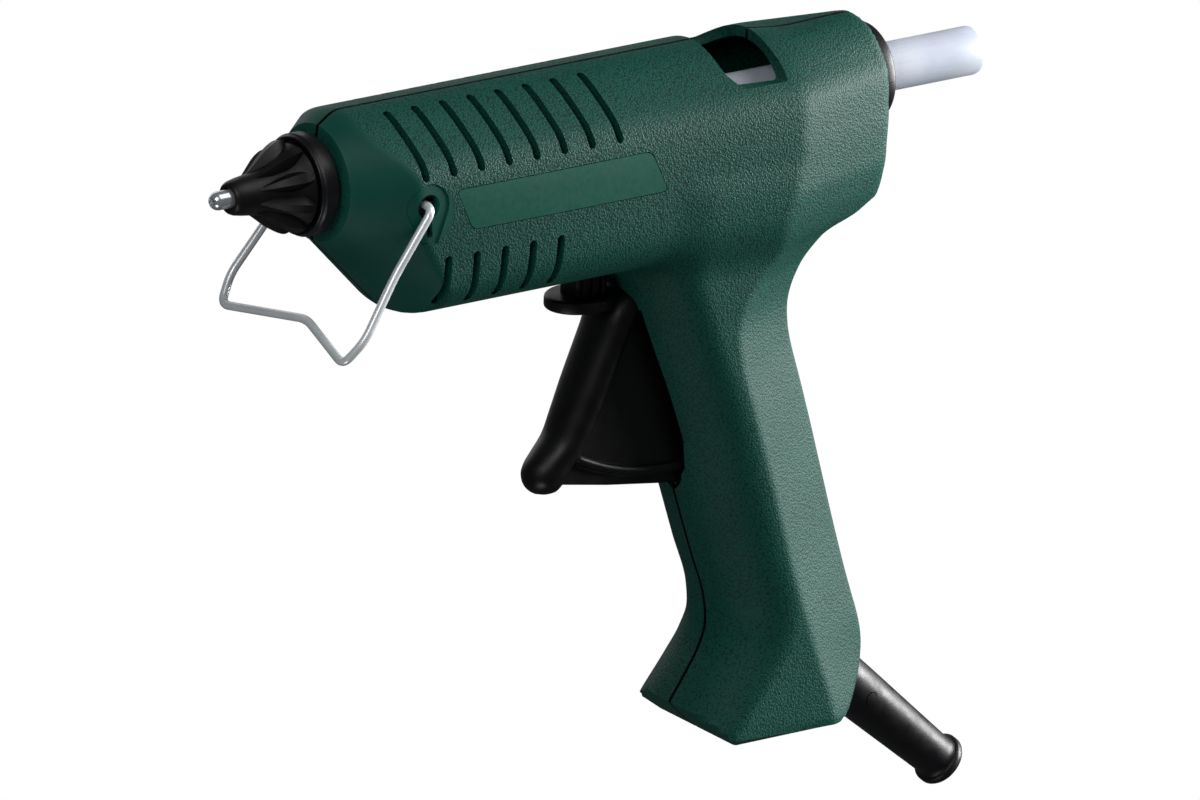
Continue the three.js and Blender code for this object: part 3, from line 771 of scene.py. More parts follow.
def leather_grain() -> bpy.types.NodeTree:
    """Shared effect: pebbled grain of moulded plastic, as a height and as a mask of its valleys, which is
    used for painted shade there.

    Returns:
        The group, made once.
    """
    if "leather_grain" in bpy.data.node_groups:
        return bpy.data.node_groups["leather_grain"]
    w, start, end = new_group("leather_grain", {"Scale": 1100.0, "Warp": 0.0004}, ["Height", "ValleyShade"])
    warp = w.node("TexNoise", in_Detail=2.0)
    w.link(start.outputs["Place"], warp.inputs["Vector"])
    w.link(start.outputs["Scale"], warp.inputs["Scale"])
    centred = w.node("VectorMath", operation="SUBTRACT")
    w.link(warp.outputs["Color"], centred.inputs[0])
    centred.inputs[1].default_value = (0.5, 0.5, 0.5)
    sized = w.node("VectorMath", operation="SCALE")
    w.link(centred.outputs[0], sized.inputs[0])
    w.link(start.outputs["Warp"], sized.inputs["Scale"])
    moved = w.node("VectorMath", operation="ADD")
    w.link(start.outputs["Place"], moved.inputs[0])
    w.link(sized.outputs[0], moved.inputs[1])
    cells = w.node("TexVoronoi", feature="SMOOTH_F1", in_Smoothness=0.35)
    w.link(moved.outputs[0], cells.inputs["Vector"])
    w.link(start.outputs["Scale"], cells.inputs["Scale"])
    pebble = w.spread(cells.outputs["Distance"], 0.15, 0.75, 1.0, 0.0)
    w.link(pebble, end.inputs["Height"])
    # mask of the grain's valleys, used for painted shade
    w.link(w.spread(cells.outputs["Distance"], 0.45, 0.8, 0.0, 1.0), end.inputs["ValleyShade"])
    return w.tree


def handling_wear() -> bpy.types.NodeTree:
    """Shared effect: rubbed edges from the surface's pointiness, and cloudy handling marks.

    Returns:
        The group, made once.
    """
    if "handling_wear" in bpy.data.node_groups:
        return bpy.data.node_groups["handling_wear"]
    w, start, end = new_group("handling_wear", {"Low": 0.52, "High": 0.62}, ["Edge", "Cloud"])
    geometry = w.node("NewGeometry")
    edge = w.node("MapRange")
    w.link(geometry.outputs["Pointiness"], edge.inputs["Value"])
    w.link(start.outputs["Low"], edge.inputs["From Min"])
    w.link(start.outputs["High"], edge.inputs["From Max"])
    broken = w.spread(w.noise(start.outputs["Place"], 2.2), 0.35, 0.65, 0.35, 1.0)
    w.link(w.math("MULTIPLY", edge.outputs[0], broken), end.inputs["Edge"])
    w.link(w.spread(w.noise(start.outputs["Place"], 26, 4), 0.3, 0.7, 0.0, 1.0), end.inputs["Cloud"])
    return w.tree


def green_plastic(w: Wiring) -> None:
    """Dark green grained housing plastic, plain behind the collar and round the stand's holes, with painted
    shade in the grain's valleys and a painted shadow line along the parting gap.

    Args:
        w: The material's wiring.
    """
    place = w.place()
    grain = w.group(leather_grain(), place, Scale=2000.0, Warp=0.0003)
    wear = w.group(handling_wear(), place)
    axis = w.node("SeparateXYZ")
    w.link(place, axis.inputs[0])
    x, y, z = axis.outputs
    around = w.length(y, z)
    widen = w.spread(z, -0.033, -0.004, 0.98, 0.70)
    nose = w.math("ADD", w.math("MULTIPLY", x, widen), 0.0123)
    grained = w.spread(w.math("SUBTRACT", nose, around), 0.0004, 0.0014, 0.0, 1.0)
    grained = w.math("MAXIMUM", grained, w.spread(z, -0.040, -0.037, 1.0, 0.0))
    pad_x, pad_z = w.math("SUBTRACT", x, 0.0172), w.math("ADD", z, 0.004)
    reach = w.length(pad_x, pad_z)
    grained = w.math("MULTIPLY", grained, w.spread(reach, 0.0061, 0.0069, 0.0, 1.0))
    height = w.math("MULTIPLY", grain.outputs["Height"], grained)
    fine = w.math("MULTIPLY", w.noise(place, 0.22, 2), 0.25)
    w.bump(w.math("ADD", height, fine), 0.09, 0.85)
    tone = w.mix(wear.outputs["Cloud"], (0.002, 0.066, 0.047), (0.003, 0.078, 0.056))
    # painted shade: the grain's valleys darkened, as if shade falls in them
    tone = w.mix(w.math("MULTIPLY", grain.outputs["ValleyShade"], grained), tone, (0.001, 0.032, 0.023))
    tone = w.mix(w.math("MULTIPLY", wear.outputs["Edge"], 0.35), tone, (0.03, 0.13, 0.105))
    # painted shadow: a dark line along the middle plane, where shade falls in the gap between the halves
    seam_shadow = w.spread(w.math("ABSOLUTE", y, 0.0), 0.00042, 0.00055, 1.0, 0.0)
    w.feed(w.mix(seam_shadow, tone, (0.001, 0.004, 0.003)), "Base Color")
    both = w.math("ADD", grain.outputs["Height"], wear.outputs["Cloud"])
    w.feed(w.spread(both, 0.0, 2.0, 0.60, 0.48), "Roughness")


def badge_plastic(w: Wiring) -> None:
    """Smooth brighter green plate, faintly cloudy.

    Args:
        w: The material's wiring.
    """
    place = w.place()
    wear = w.group(handling_wear(), place)
    w.feed(w.mix(wear.outputs["Cloud"], (0.004, 0.082, 0.052), (0.006, 0.094, 0.062)), "Base Color")
    w.feed(w.spread(w.noise(place, 1.4), 0.3, 0.7, 0.40, 0.52), "Roughness")
    w.bump(w.noise(place, 0.3, 2), 0.01, 0.5)


def satin_black(w: Wiring, base: float, rough: Point, grain_mm: float, depth_mm: float) -> None:
    """Black moulding with a fine spark-eroded skin, used by several finishes.

    Args:
        w: The material's wiring.
        base: How light the black is.
        rough: Lowest and highest roughness.
        grain_mm: Size of the skin's grain.
        depth_mm: Depth of the skin's grain.
    """
    place = w.place()
    wear = w.group(handling_wear(), place)
    dark = (base, base, base * 1.25)
    light = (base * 2.2, base * 2.3, base * 2.9)
    tone = w.mix(wear.outputs["Cloud"], dark, (base * 1.3, base * 1.3, base * 1.7))
    w.feed(w.mix(w.math("MULTIPLY", wear.outputs["Edge"], 0.6), tone, light), "Base Color")
    w.feed(w.spread(w.noise(place, 3.5, 4), 0.3, 0.7, *rough), "Roughness")
    w.bump(w.noise(place, grain_mm, 3), depth_mm, 0.7)


def black_plastic(w: Wiring) -> None:
    """Collar, bush and carriage."""
    satin_black(w, 0.0045, (0.3, 0.42), 0.35, 0.02)


def trigger_plastic(w: Wiring) -> None:
    """Finely textured black trigger."""
    satin_black(w, 0.0016, (0.34, 0.44), 0.42, 0.04)


def cap_rubber(w: Wiring) -> None:
    """Heat-proof rubber of the cap and the bend protector."""
    satin_black(w, 0.003, (0.34, 0.5), 0.5, 0.03)


def bare_metal(
    w: Wiring,
    dark: Sequence[float],
    light: Sequence[float],
    rough: Point,
    streak: Sequence[float],
) -> None:
    """Drawn or turned metal with streaks, used by several finishes.

    Args:
        w: The material's wiring.
        dark: Colour of its dull parts.
        light: Colour of its bright parts.
        rough: Lowest and highest roughness.
        streak: How far the pattern is squeezed on each axis.
    """
    place = w.place()
    lines = w.noise(w.squeezed(place, streak), 0.5, 4)
    cloud = w.noise(place, 5, 4)
    w.feed(w.mix(w.spread(cloud, 0.35, 0.65, 0, 1), dark, light), "Base Color")
    w.feed(w.spread(w.math("ADD", lines, cloud), 0.7, 1.3, *rough), "Roughness")
    w.bump(lines, 0.01, 0.25)


def nozzle_metal(w: Wiring) -> None:
    """Bright turned aluminium."""
    bare_metal(w, (0.66, 0.68, 0.72), (0.88, 0.9, 0.93), (0.14, 0.3), (6, 1, 1))


def chamber_metal(w: Wiring) -> None:
    """Cast aluminium with heat tint."""
    bare_metal(w, (0.36, 0.34, 0.31), (0.6, 0.6, 0.6), (0.35, 0.6), (1, 1, 1))


def steel(w: Wiring) -> None:
    """Zinc-plated steel of pins, screws and spring."""
    bare_metal(w, (0.4, 0.41, 0.42), (0.62, 0.63, 0.62), (0.22, 0.42), (1, 5, 1))


def stand_wire(w: Wiring) -> None:
    """Zinc-plated drawn wire, slightly dull."""
    bare_metal(w, (0.86, 0.92, 0.95), (0.97, 0.99, 1.0), (0.24, 0.34), (0.3, 0.3, 0.3))


def brass(w: Wiring) -> None:
    """Brass terminal screws."""
    bare_metal(w, (0.5, 0.36, 0.13), (0.7, 0.54, 0.22), (0.25, 0.45), (1, 4, 1))


def ceramic(w: Wiring) -> None:
    """Matt off-white ceramic with specks.

    Args:
        w: The material's wiring.
    """
    place = w.place()
    specks = w.spread(w.noise(place, 0.6, 5), 0.55, 0.75, 0, 1)
    w.feed(w.mix(specks, (0.62, 0.58, 0.5), (0.36, 0.31, 0.25)), "Base Color")
    w.feed(w.spread(w.noise(place, 4), 0.3, 0.7, 0.6, 0.8), "Roughness")
    w.bump(w.noise(place, 0.3, 4), 0.04, 0.8)


def terminal_plastic(w: Wiring) -> None:
    """Slightly yellowed clear-white terminal plastic.

    Args:
        w: The material's wiring.
    """
    place = w.place()
    cloud = w.spread(w.noise(place, 7), 0.3, 0.7, 0, 1)
    w.feed(w.mix(cloud, (0.62, 0.6, 0.5), (0.72, 0.71, 0.64)), "Base Color")
    w.feed(w.spread(w.noise(place, 2), 0.3, 0.7, 0.3, 0.45), "Roughness")
    w.bump(w.noise(place, 0.4, 2), 0.015, 0.5)


def sleeve_silicone(w: Wiring) -> None:
    """Red-brown silicone, darker where it has been hot.

    Args:
        w: The material's wiring.
    """
    place = w.place()
    cloud = w.spread(w.noise(place, 6, 4), 0.3, 0.7, 0, 1)
    w.feed(w.mix(cloud, (0.12, 0.016, 0.01), (0.24, 0.035, 0.02)), "Base Color")
    w.feed(w.spread(w.noise(place, 1.5), 0.3, 0.7, 0.45, 0.65), "Roughness")
    w.bump(w.noise(place, 0.35, 2), 0.02, 0.6)


def glue(w: Wiring) -> None:
    """Milky hot-melt glue with a waxy, slightly scuffed skin.

    Args:
        w: The material's wiring.
    """
    place = w.place()
    cloud = w.spread(w.noise(place, 9, 3), 0.3, 0.7, 0, 1)
    w.feed(w.mix(cloud, (0.58, 0.63, 0.74), (0.68, 0.72, 0.80)), "Base Color")
    drawn = w.noise(w.squeezed(place, (0.12, 1, 1)), 0.9, 3)
    w.feed(w.spread(drawn, 0.3, 0.7, 0.26, 0.42), "Roughness")
    w.bump(drawn, 0.06, 0.5)


HOUSING_GREEN = Finish("housing", green_plastic, specular=0.22)
BADGE_GREEN = Finish("badge", badge_plastic, specular=0.3)
BLACK_PLASTIC = Finish("black_plastic", black_plastic, specular=0.4)
TRIGGER_BLACK = Finish("trigger_plastic", trigger_plastic, specular=0.35)
CAP_RUBBER = Finish("cap_rubber", cap_rubber, specular=0.35)
NOZZLE_METAL = Finish("nozzle_metal", nozzle_metal, metallic=0.75)
CHAMBER_METAL = Finish("chamber_metal", chamber_metal, metallic=1.0)
STEEL = Finish("steel", steel, metallic=1.0)
STAND_WIRE = Finish("stand_wire", stand_wire, metallic=0.35)
BRASS = Finish("brass", brass, metallic=1.0)
CERAMIC = Finish("ceramic", ceramic)
TERMINAL = Finish("terminal_plastic", terminal_plastic)
SILICONE = Finish("sleeve_silicone", sleeve_silicone)
GLUE = Finish("glue", glue, subsurface=0.6)


def deliver(
    piece: bpy.types.Object,
    name: str,
    body: str,
    finish: Finish,
    replaced: Sequence[str] = (),
    limit: float = SMOOTH_LIMIT,
) -> bpy.types.Object:
    """Put a finished piece in the part's frame, dress it and hang it on its body.

    Args:
        piece: The piece, in the tool frame.
        name: Its final name.
        body: The CAD body that it rides on.
        finish: Its finish.
        replaced: CAD nodes that it stands for.
        limit: Edges flatter than this angle are shaded smooth.

    Returns:
        The piece.
    """
    shift(piece, TO_PART)
    piece.name = name
    piece.data.name = name
    pick(piece)
    bpy.ops.object.shade_smooth_by_angle(angle=limit)
    piece.data.materials.clear()
    piece.data.materials.append(finish.material())
    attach(piece, body)
    if replaced:
        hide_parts(*replaced)
    LOG.info("built %s, %d faces", name, len(piece.data.polygons))
    return piece


# ---------------------------------------------------------------- housing form


class SmoothRule:
    """A size that changes smoothly along one axis through a few chosen values."""

    def __init__(self, values: Sequence[Point]) -> None:
        """Keep the values in rising order and find their slopes.

        Args:
            values: Places and the sizes there.
        """
        ordered = np.array(sorted(values), float)
        self.at, self.size = ordered[:, 0], ordered[:, 1]
        steps = np.diff(self.size) / np.diff(self.at)
        product, total = steps[1:] * steps[:-1], steps[1:] + steps[:-1]
        inner = np.where(product > 0, 2 * product / (total + 1e-12), 0)
        self.slope = np.concatenate([[steps[0]], inner, [steps[-1]]])

    def __call__(self, at: Array) -> Array:
        """Sizes at some places.

        Args:
            at: The places.

        Returns:
            One size for each place.
        """
        place = np.clip(at, self.at[0], self.at[-1])
        i = np.clip(np.searchsorted(self.at, place) - 1, 0, len(self.at) - 2)
        width = self.at[i + 1] - self.at[i]
        t = (place - self.at[i]) / width
        h00, h10 = (1 + 2 * t) * (1 - t) ** 2, t * (1 - t) ** 2
        h01, h11 = t * t * (3 - 2 * t), t * t * (t - 1)
        return (
            h00 * self.size[i] + h10 * width * self.slope[i]
            + h01 * self.size[i + 1] + h11 * width * self.slope[i + 1]
        )


def outline_distance(a: Array, b: Array, outline: Sequence[Point]) -> Array:
    """Distance from an outline, negative inside.

    Args:
        a: First coordinates of the points.
        b: Second coordinates of the points.
        outline: The closed outline.

    Returns:
        One distance for each point.
    """
    best = np.full(a.shape, 1e9)
    inside = np.zeros(a.shape, bool)
    for (a0, b0), (a1, b1) in zip(outline, [*outline[1:], outline[0]]):
        run, rise = a1 - a0, b1 - b0
        length = run * run + rise * rise
        if length < 1e-12:
            continue
        off_a, off_b = a - a0, b - b0
        t = np.clip((off_a * run + off_b * rise) / length, 0, 1)
        best = np.minimum(best, (off_a - run * t) ** 2 + (off_b - rise * t) ** 2)
        if b0 != b1:
            inside ^= ((b0 <= b) != (b1 <= b)) & (a < run * (b - b0) / rise + a0)
    return np.where(inside, -1, 1) * np.sqrt(best)


def blend_max(first: Array, second: Array, width: float) -> Array:
    """Larger of two distances, rounded where they meet."""
    share = np.clip(0.5 + 0.5 * (first - second) / width, 0, 1)
    return second * (1 - share) + first * share + width * share * (1 - share)


def blend_min(first: Array, second: Array, width: float) -> Array:
    """Smaller of two distances, filled where they meet."""
    return -blend_max(-first, -second, width)


@dataclass
class BodyForm:
    """Outer form of the two housing halves: an arched barrel that flows into the pistol grip.

    The flanks, the grip's rounded front and the taper behind the crease run into each other in soft
    curves, so the skin is laid over this rule as a net of points, section by section.
    """

    junction: float = 7.0  # softness where barrel and grip flow together
    crease: float = 0.5  # softness of the crease in front of the taper
    edge: float = 1.5  # softness of the side view's edges
    nose_edge: float = 1.0  # softness of the nose's bevels
    nose_radius: float = 12.3  # radius of the flat ring behind the collar
    nose_slope: float = 0.70  # how fast the nose widens
    grip_top: float = -14.0  # where the grip's form ends inside the barrel
    bottom: float = -150.4  # underside of the grip
    stand_plane: float = -30.2  # standing plane along the tilted vertical
    sections: int = 330
    rays: int = 112
    ray_length: float = 62.0  # longer than the way from any section's middle to the skin
    halvings: int = 24

    def __post_init__(self) -> None:
        """Draw the outlines and the rules."""
        side = [
            (0, 19, 1), (0, -36, 1), (74, -33, 1),
            (84.5, -34.5, 3), (87.5, -42, 4), (92, -53, 4), (98, -67, 5), (108, -95, 6),
            (112.3, -106.5, 5), (117.2, -119, 4), (118.2, -125.5, 3), (116.5, -131, 3), (112.8, -137, 3),
            (106, -147.2, 1), (113, -158, 1), (140, -158, 1), (146.8, -151.6, 3), (151, -147.5, 3),
            (155.2, -142, 3), (157.4, -137, 3), (157.6, -132.5, 3), (156, -127, 3), (152.2, -116.5, 5),
            (145, -94, 5), (139.8, -78, 5), (134.6, -63.5, 4), (131.3, -54.5, 3), (130.2, -48, 3),
            (130.6, -43, 2), (132.6, -38, 2), (136.5, -32.4, 3), (141, -30.0, 2), (146.8, -29.2, 1.5),
            (151.3, -27.4, 1.6), (152, -20, 2), (152, 13.2, 2), (150, 15.5, 2), (141, 15.2, 3),
            (132, 14.9, 3), (127, 15.3, 2), (122.5, 16.4, 1), (119, 19, 1),
        ]
        self.side = rounded(side)
        self.plan = rounded([
            (0, -20, 0), (0, 21, 0.8), (13.2, 22, 2.5), (36, 22.9, 12), (62, 23.5, 14),
            (112, 23.5, 1), (180, 23.5, 0), (180, -20, 0),
        ])
        arch = [
            (0, -33.2), (8, -32.4), (14.5, -30.2), (19.8, -26.8), (22.4, -22.5), (23.3, -17),
            (23.2, -9), (22.5, -1), (21.5, 4.2), (19.3, 7.4), (16.2, 9.6), (12.1, 12.1),
            (8.1, 14.2), (4.4, 15.6), (0, 16.3),
        ]
        self.arch = rounded([*[(a, b, 3.2) for a, b in arch], (-25, 16.3, 0), (-25, -33.2, 0)], 4)
        self.front = SmoothRule([
            (-10, 84), (-33, 84.5), (-42, 87.4), (-53, 92), (-67, 98), (-95, 108), (-106.5, 112.2),
            (-119, 117), (-125.5, 117.9), (-131, 116.3), (-137, 112.8), (-147.2, 106), (-156, 101),
        ])
        self.half = SmoothRule([(0, 18.8), (-33, 18.8), (-48, 18.5), (-71, 17.7), (-88, 17.1), (-111, 16.8),
                                (-129, 16.9), (-144, 17.3), (-156, 17.5)])
        self.depth = SmoothRule([(0, 13), (-60, 15), (-95, 16), (-119, 15), (-135, 12.5), (-150, 10.5)])
        self.crease_x = SmoothRule([
            (18, 121.3), (-15, 121.3), (-21, 120.2), (-30, 115.6), (-39, 110.6), (-47.7, 109.5), (-56, 111),
            (-71, 116.3), (-87.5, 122.3), (-110.7, 130.2), (-129, 136.9), (-144, 143.2), (-156, 147),
        ])
        self.crease_y = SmoothRule([
            (16.4, 0.3), (15.3, 4.7), (14.1, 8.1), (12.1, 12.1), (9.5, 16.2), (7.3, 19.2),
            (4.4, 21.4), (-1, 22.5), (-9, 23.2), (-15, 23.3), (-21, 22.7), (-30, 21.3),
            (-39, 19.6), (-48, 18.5), (-71, 17.7), (-88, 17.1), (-111, 16.8), (-129, 16.9),
            (-144, 17.0), (-156, 17.0),
        ])
        self.slope = SmoothRule([
            (16.4, -0.15), (14.6, -0.175), (13.2, -0.192), (10.5, -0.229), (7.8, -0.276),
            (4.8, -0.29), (-4.7, -0.304), (-15, -0.305), (-25, -0.30), (-28, -0.31),
            (-32, -0.40), (-44, -0.45), (-60, -0.48), (-94, -0.475), (-116, -0.46),
            (-127, -0.45), (-140, -0.5), (-156, -0.5),
        ])

    def distance(self, x: Array, wide: Array, z: Array) -> Array:
        """How far points lie outside the form, negative inside.

        Args:
            x: Distances back from the front face.
            wide: Distances out from the middle plane.
            z: Heights.

        Returns:
            Their distances, true near the surface only.
        """
        barrel = blend_max(
            outline_distance(wide, z, self.arch), outline_distance(x, wide, self.plan), self.nose_edge
        )
        radius = np.hypot(wide, z)
        widen = self.nose_slope + 0.28 * np.clip(-z / np.maximum(radius, 1), 0, 1) ** 2
        barrel = blend_max(barrel, (radius - self.nose_radius - widen * x) * 0.8, self.nose_edge)
        depth, half = self.depth(z), self.half(z)
        ahead = np.maximum(depth - (x - self.front(z)), 0) / depth
        grip = (np.hypot(ahead, wide / half) - 1) * 13
        grip = blend_max(grip, z - self.grip_top, 4)
        form = blend_min(barrel, grip, self.junction)
        lean = 0.36 * (22.5 - wide) * np.clip((z + 25) / 20, 0, 1)
        taper = self.crease_y(z) + (x - self.crease_x(z) - lean) * self.slope(z)
        form = blend_max(form, (wide - taper) * 0.93, self.crease)
        form = blend_max(form, outline_distance(x, z, self.side), np.where(x < 30, 0.3, self.edge))
        form = blend_max(form, self.bottom - z, 3.0)
        heel = -(x * math.sin(TILT) + z * math.cos(TILT) - self.stand_plane)
        return blend_max(form, heel, 0.6)

    def stations(self) -> tuple[Array, Array]:
        """Middle points and directions of the sections, closer together at both ends.

        Returns:
            Points in the side view and unit vectors across the form.
        """
        inner = np.array([
            (0.02, -12), (1.2, -12.4), (6, -16), (20, -32), (60, -33), (80, -33), (84.5, -36),
            (87, -40.5), (88.5, -43.5), (89.5, -45.5), (90.5, -47.5), (91.5, -49.8),
            (92.5, -52), (93.8, -55), (95, -58.5), (96.5, -62),
            (98.5, -67), (101, -76), (104.5, -86), (112, -105.4), (117.5, -121), (116.5, -130),
            (112.5, -137), (110, -143), (113, -147.2), (116, -149.4), (117.5, -150.35),
        ], float)
        outer = np.array([
            (0.02, 12), (1.2, 13), (6, 15.5), (20, 16.5), (60, 16.5), (86, 16.5), (104, 16.5),
            (124, 16), (140, 15), (151, 14.5), (152, 4), (152, -10), (151, -23), (143, -28),
            (134.5, -35), (130.5, -44),
            (131, -55), (136, -68), (142, -86), (148, -106), (153.5, -123), (157, -133),
            (155.5, -140.5), (151, -146.5), (148, -149.2), (147, -150), (146.5, -150.35),
        ], float)
        steps = np.linalg.norm(np.diff((inner + 2 * outer) / 3, axis=0), axis=1)
        along = np.concatenate([[0], np.cumsum(steps)])
        even = np.linspace(0, 1, self.sections)
        eased = even + 0.012 * (np.exp((even - 1) * 60) - np.exp(-even * 60))
        eased = (eased - eased[0]) / (eased[-1] - eased[0])
        at = eased * along[-1]
        near = np.stack([np.interp(at, along, inner[:, k]) for k in (0, 1)], 1)
        far = np.stack([np.interp(at, along, outer[:, k]) for k in (0, 1)], 1)
        across = far - near
        return (near + far) / 2, across / np.linalg.norm(across, axis=1)[:, None]

    def half_net(self) -> Array:
        """Points of the left half's skin, found on each ray by halving.

        Returns:
            Sections by rays by three coordinates.
        """
        middle, across = self.stations()
        angle = np.linspace(-math.pi / 2, math.pi / 2, self.rays)
        up, out = np.sin(angle)[None, :], np.cos(angle)[None, :]
        low = np.zeros((self.sections, self.rays))
        high = np.full((self.sections, self.rays), self.ray_length)
        for _ in range(self.halvings):
            reach = (low + high) / 2
            x = middle[:, :1] + across[:, :1] * up * reach
            z = middle[:, 1:] + across[:, 1:] * up * reach
            outside = self.distance(x, out * reach, z) > 0
            high, low = np.where(outside, reach, high), np.where(outside, low, reach)
        x = middle[:, :1] + across[:, :1] * up * low
        z = middle[:, 1:] + across[:, 1:] * up * low
        wide = out * low
        wide[:, [0, -1]] = 0
        return np.stack([x, -wide, z], -1)

    def solid(self, name: str) -> bpy.types.Object:
        """Closed solid of the whole form.

        Args:
            name: Name of the solid.

        Returns:
            The solid.
        """
        skin = net(name, self.half_net())
        apply_modifier(
            skin, "MIRROR", use_axis=(False, True, False), use_mirror_merge=True, merge_threshold=0.001
        )
        close_rims(skin, bpy.ops.mesh.edge_face_add, 0.002)
        return skin


def slab(name: str, low: Sequence[float], high: Sequence[float]) -> bpy.types.Object:
    """Rectangular block, as a tool for cutting.

    Args:
        name: Name of the block.
        low: Its lowest corner.
        high: Its highest corner.

    Returns:
        The block.
    """
    outline = [(low[0], low[2]), (high[0], low[2]), (high[0], high[2]), (low[0], high[2])]
    return plate(name, outline, Flat.SIDE, low[1], high[1])


@dataclass
class Housing:
    """Both halves of the housing with their vents, window, keyholes, slots and badges."""

    vent_width: float = 2.0
    vent_pitch: float = 7.7
    upper_start: float = 15.3
    upper_count: int = 8
    lower_start: float = 21.8
    lower_count: int = 5
    badge_left: float = 24.4
    badge_length: float = 54.0
    badge_top: float = 0.7
    badge_height: float = 9.7
    badge_slant: float = 4.6
    badge_depth: float = 0.5
    badge_gap: float = 0.18
    badge_thickness: float = 1.2
    pad_depth: float = 0.3
    hollow_voxel: float = 1.1
    window_half: float = 17.2
    collar_hole: float = 8.7
    bush_hole: float = 9.3
    boot_hole: float = 6.1
    screw_hole: float = 3.3
    well_radius: float = 4.7
    slot_rows: int = 15
    slot_first: float = -128
    slot_step: float = 4.6
    stand_x: float = 17.0
    stand_z: float = -2.0
    screws: tuple[tuple[float, float, float], ...] = (
        (15, -18.5, 15), (64, -23, 17), (138, -18, 14.5), (124, -104, 11.5), (126, -141, 11.5),
    )
    form: BodyForm = field(default_factory=BodyForm)

    def stadium(self, name: str, length: float, width: float, depth: float) -> bpy.types.Object:
        """Slot cutter with round ends: long axis along y, depth along z, centred.

        Args:
            name: Name of the cutter.
            length: Whole length.
            width: Width of the slot.
            depth: How deep it goes.

        Returns:
            The cutter.
        """
        half, reach = width / 2, length / 2 - width / 2
        outline = [
            (half * math.cos(a), reach * (1 if s > 0 else -1) + half * math.sin(a))
            for s, first in ((1, 0.0), (-1, math.pi))
            for a in np.linspace(first, first + math.pi, 9)
        ]
        return plate(name, outline, Flat.PLAN, -depth / 2, depth / 2)

    def vent_cutters(self, side: Side) -> list[bpy.types.Object]:
        """Cutters of one flank's cooling slots.

        Args:
            side: The flank.

        Returns:
            The upper row, then the lower row.
        """
        cutters = []
        start, end = Vector((0, 4.9, 15.2)), Vector((0, 21.5, 4.6))
        run = end - start
        lean = math.atan2(run.z, run.y)
        for i in range(self.upper_count):
            x = self.upper_start + i * self.vent_pitch + self.vent_width / 2
            cutter = self.stadium("vent", run.length + 0.6, self.vent_width, 12)
            place = Matrix.Translation(Vector((x, 0, 0)) + (start + end) / 2)
            shift(cutter, place @ Matrix.Rotation(lean, 4, "X"))
            cutters.append(cutter)
        for i in range(self.lower_count):
            x = self.lower_start + i * self.vent_pitch + self.vent_width / 2
            cutter = self.stadium("vent", 13.2, self.vent_width, 12)
            place = Matrix.Translation((x, 22.5, -21)) @ Matrix.Rotation(math.radians(90 - 8), 4, "X")
            cutters.append(shift(cutter, place))
        if side is Side.LEFT:
            for cutter in cutters:
                shift(cutter, Matrix.Scale(-1, 4, (0, 1, 0)))
        return cutters

    def badge_outline(self, grow: float) -> list[Point]:
        """Rounded parallelogram of the badge.

        Args:
            grow: How far it is grown all round.

        Returns:
            The outline's points.
        """
        left, right = self.badge_left - grow, self.badge_left + self.badge_length + grow
        top, low = self.badge_top + grow, self.badge_top - self.badge_height - grow
        slant = self.badge_slant
        return plain([(left, top), (right, top), (right + slant, low), (left + slant, low)], 1.6, 6)

    def slot_half(self, reach: Array) -> Array:
        """Half width of the trigger slot at distances from the trigger's pivot."""
        return np.interp(reach, [0, 50, 57.8, 59, 62, 64.5], [7.7, 7.7, 6.0, 4.7, 3.5, 0.8])

    def trigger_slot(self) -> bpy.types.Object:
        """Cutter of the slot that the trigger moves in, narrowing round at its foot.

        Returns:
            The cutter, swept round the trigger's pivot.
        """
        pivot = np.array(TriggerGroup.pivot)
        reaches = [*np.linspace(12, 49, 8), *np.linspace(50, 64.5, 15)]
        points = []
        for k in range(self.slot_rows):
            angle = math.radians(self.slot_first + k * self.slot_step)
            for reach in reaches:
                spot = pivot + reach * np.array([math.cos(angle), math.sin(angle)])
                points.append((spot[0], float(self.slot_half(reach)), spot[1]))
        piece = net("trigger_slot", np.array(points).reshape(self.slot_rows, len(reaches), 3))
        apply_modifier(piece, "MIRROR", use_axis=(False, True, False), use_mirror_merge=False)
        close_rims(piece, bpy.ops.mesh.bridge_edge_loops)
        return piece

    def keyhole_outline(self) -> list[Point]:
        """Keyhole: round hole with a narrow slot hanging below it.

        Returns:
            The outline's points.
        """
        x, z, r, half = self.stand_x, self.stand_z, 2.85, 0.75
        start = math.asin(half / r)
        arc = np.linspace(-math.pi / 2 + start, 1.5 * math.pi - start, 25)
        round_part = [(x + r * math.cos(a), z + r * math.sin(a)) for a in arc]
        foot = z - r - 4.3
        end = [(x - half + 0.5, foot + 0.3), (x + 0.5, foot - 0.3), (x + half + 0.5, foot + 0.3)]
        return [*round_part, *end]

    def pad_outline(self) -> list[Point]:
        """Teardrop of the plain pad round the keyhole.

        Returns:
            The outline's points.
        """
        x, z, radius = self.stand_x, self.stand_z, 5.3
        turns = np.linspace(-0.35, math.pi + 0.35, 21)
        arc = [(x + radius * math.cos(a), z + radius * math.sin(a)) for a in turns]
        return [*arc, (x - 1.4, z - 8.8), (x + 2.6, z - 8.8)]

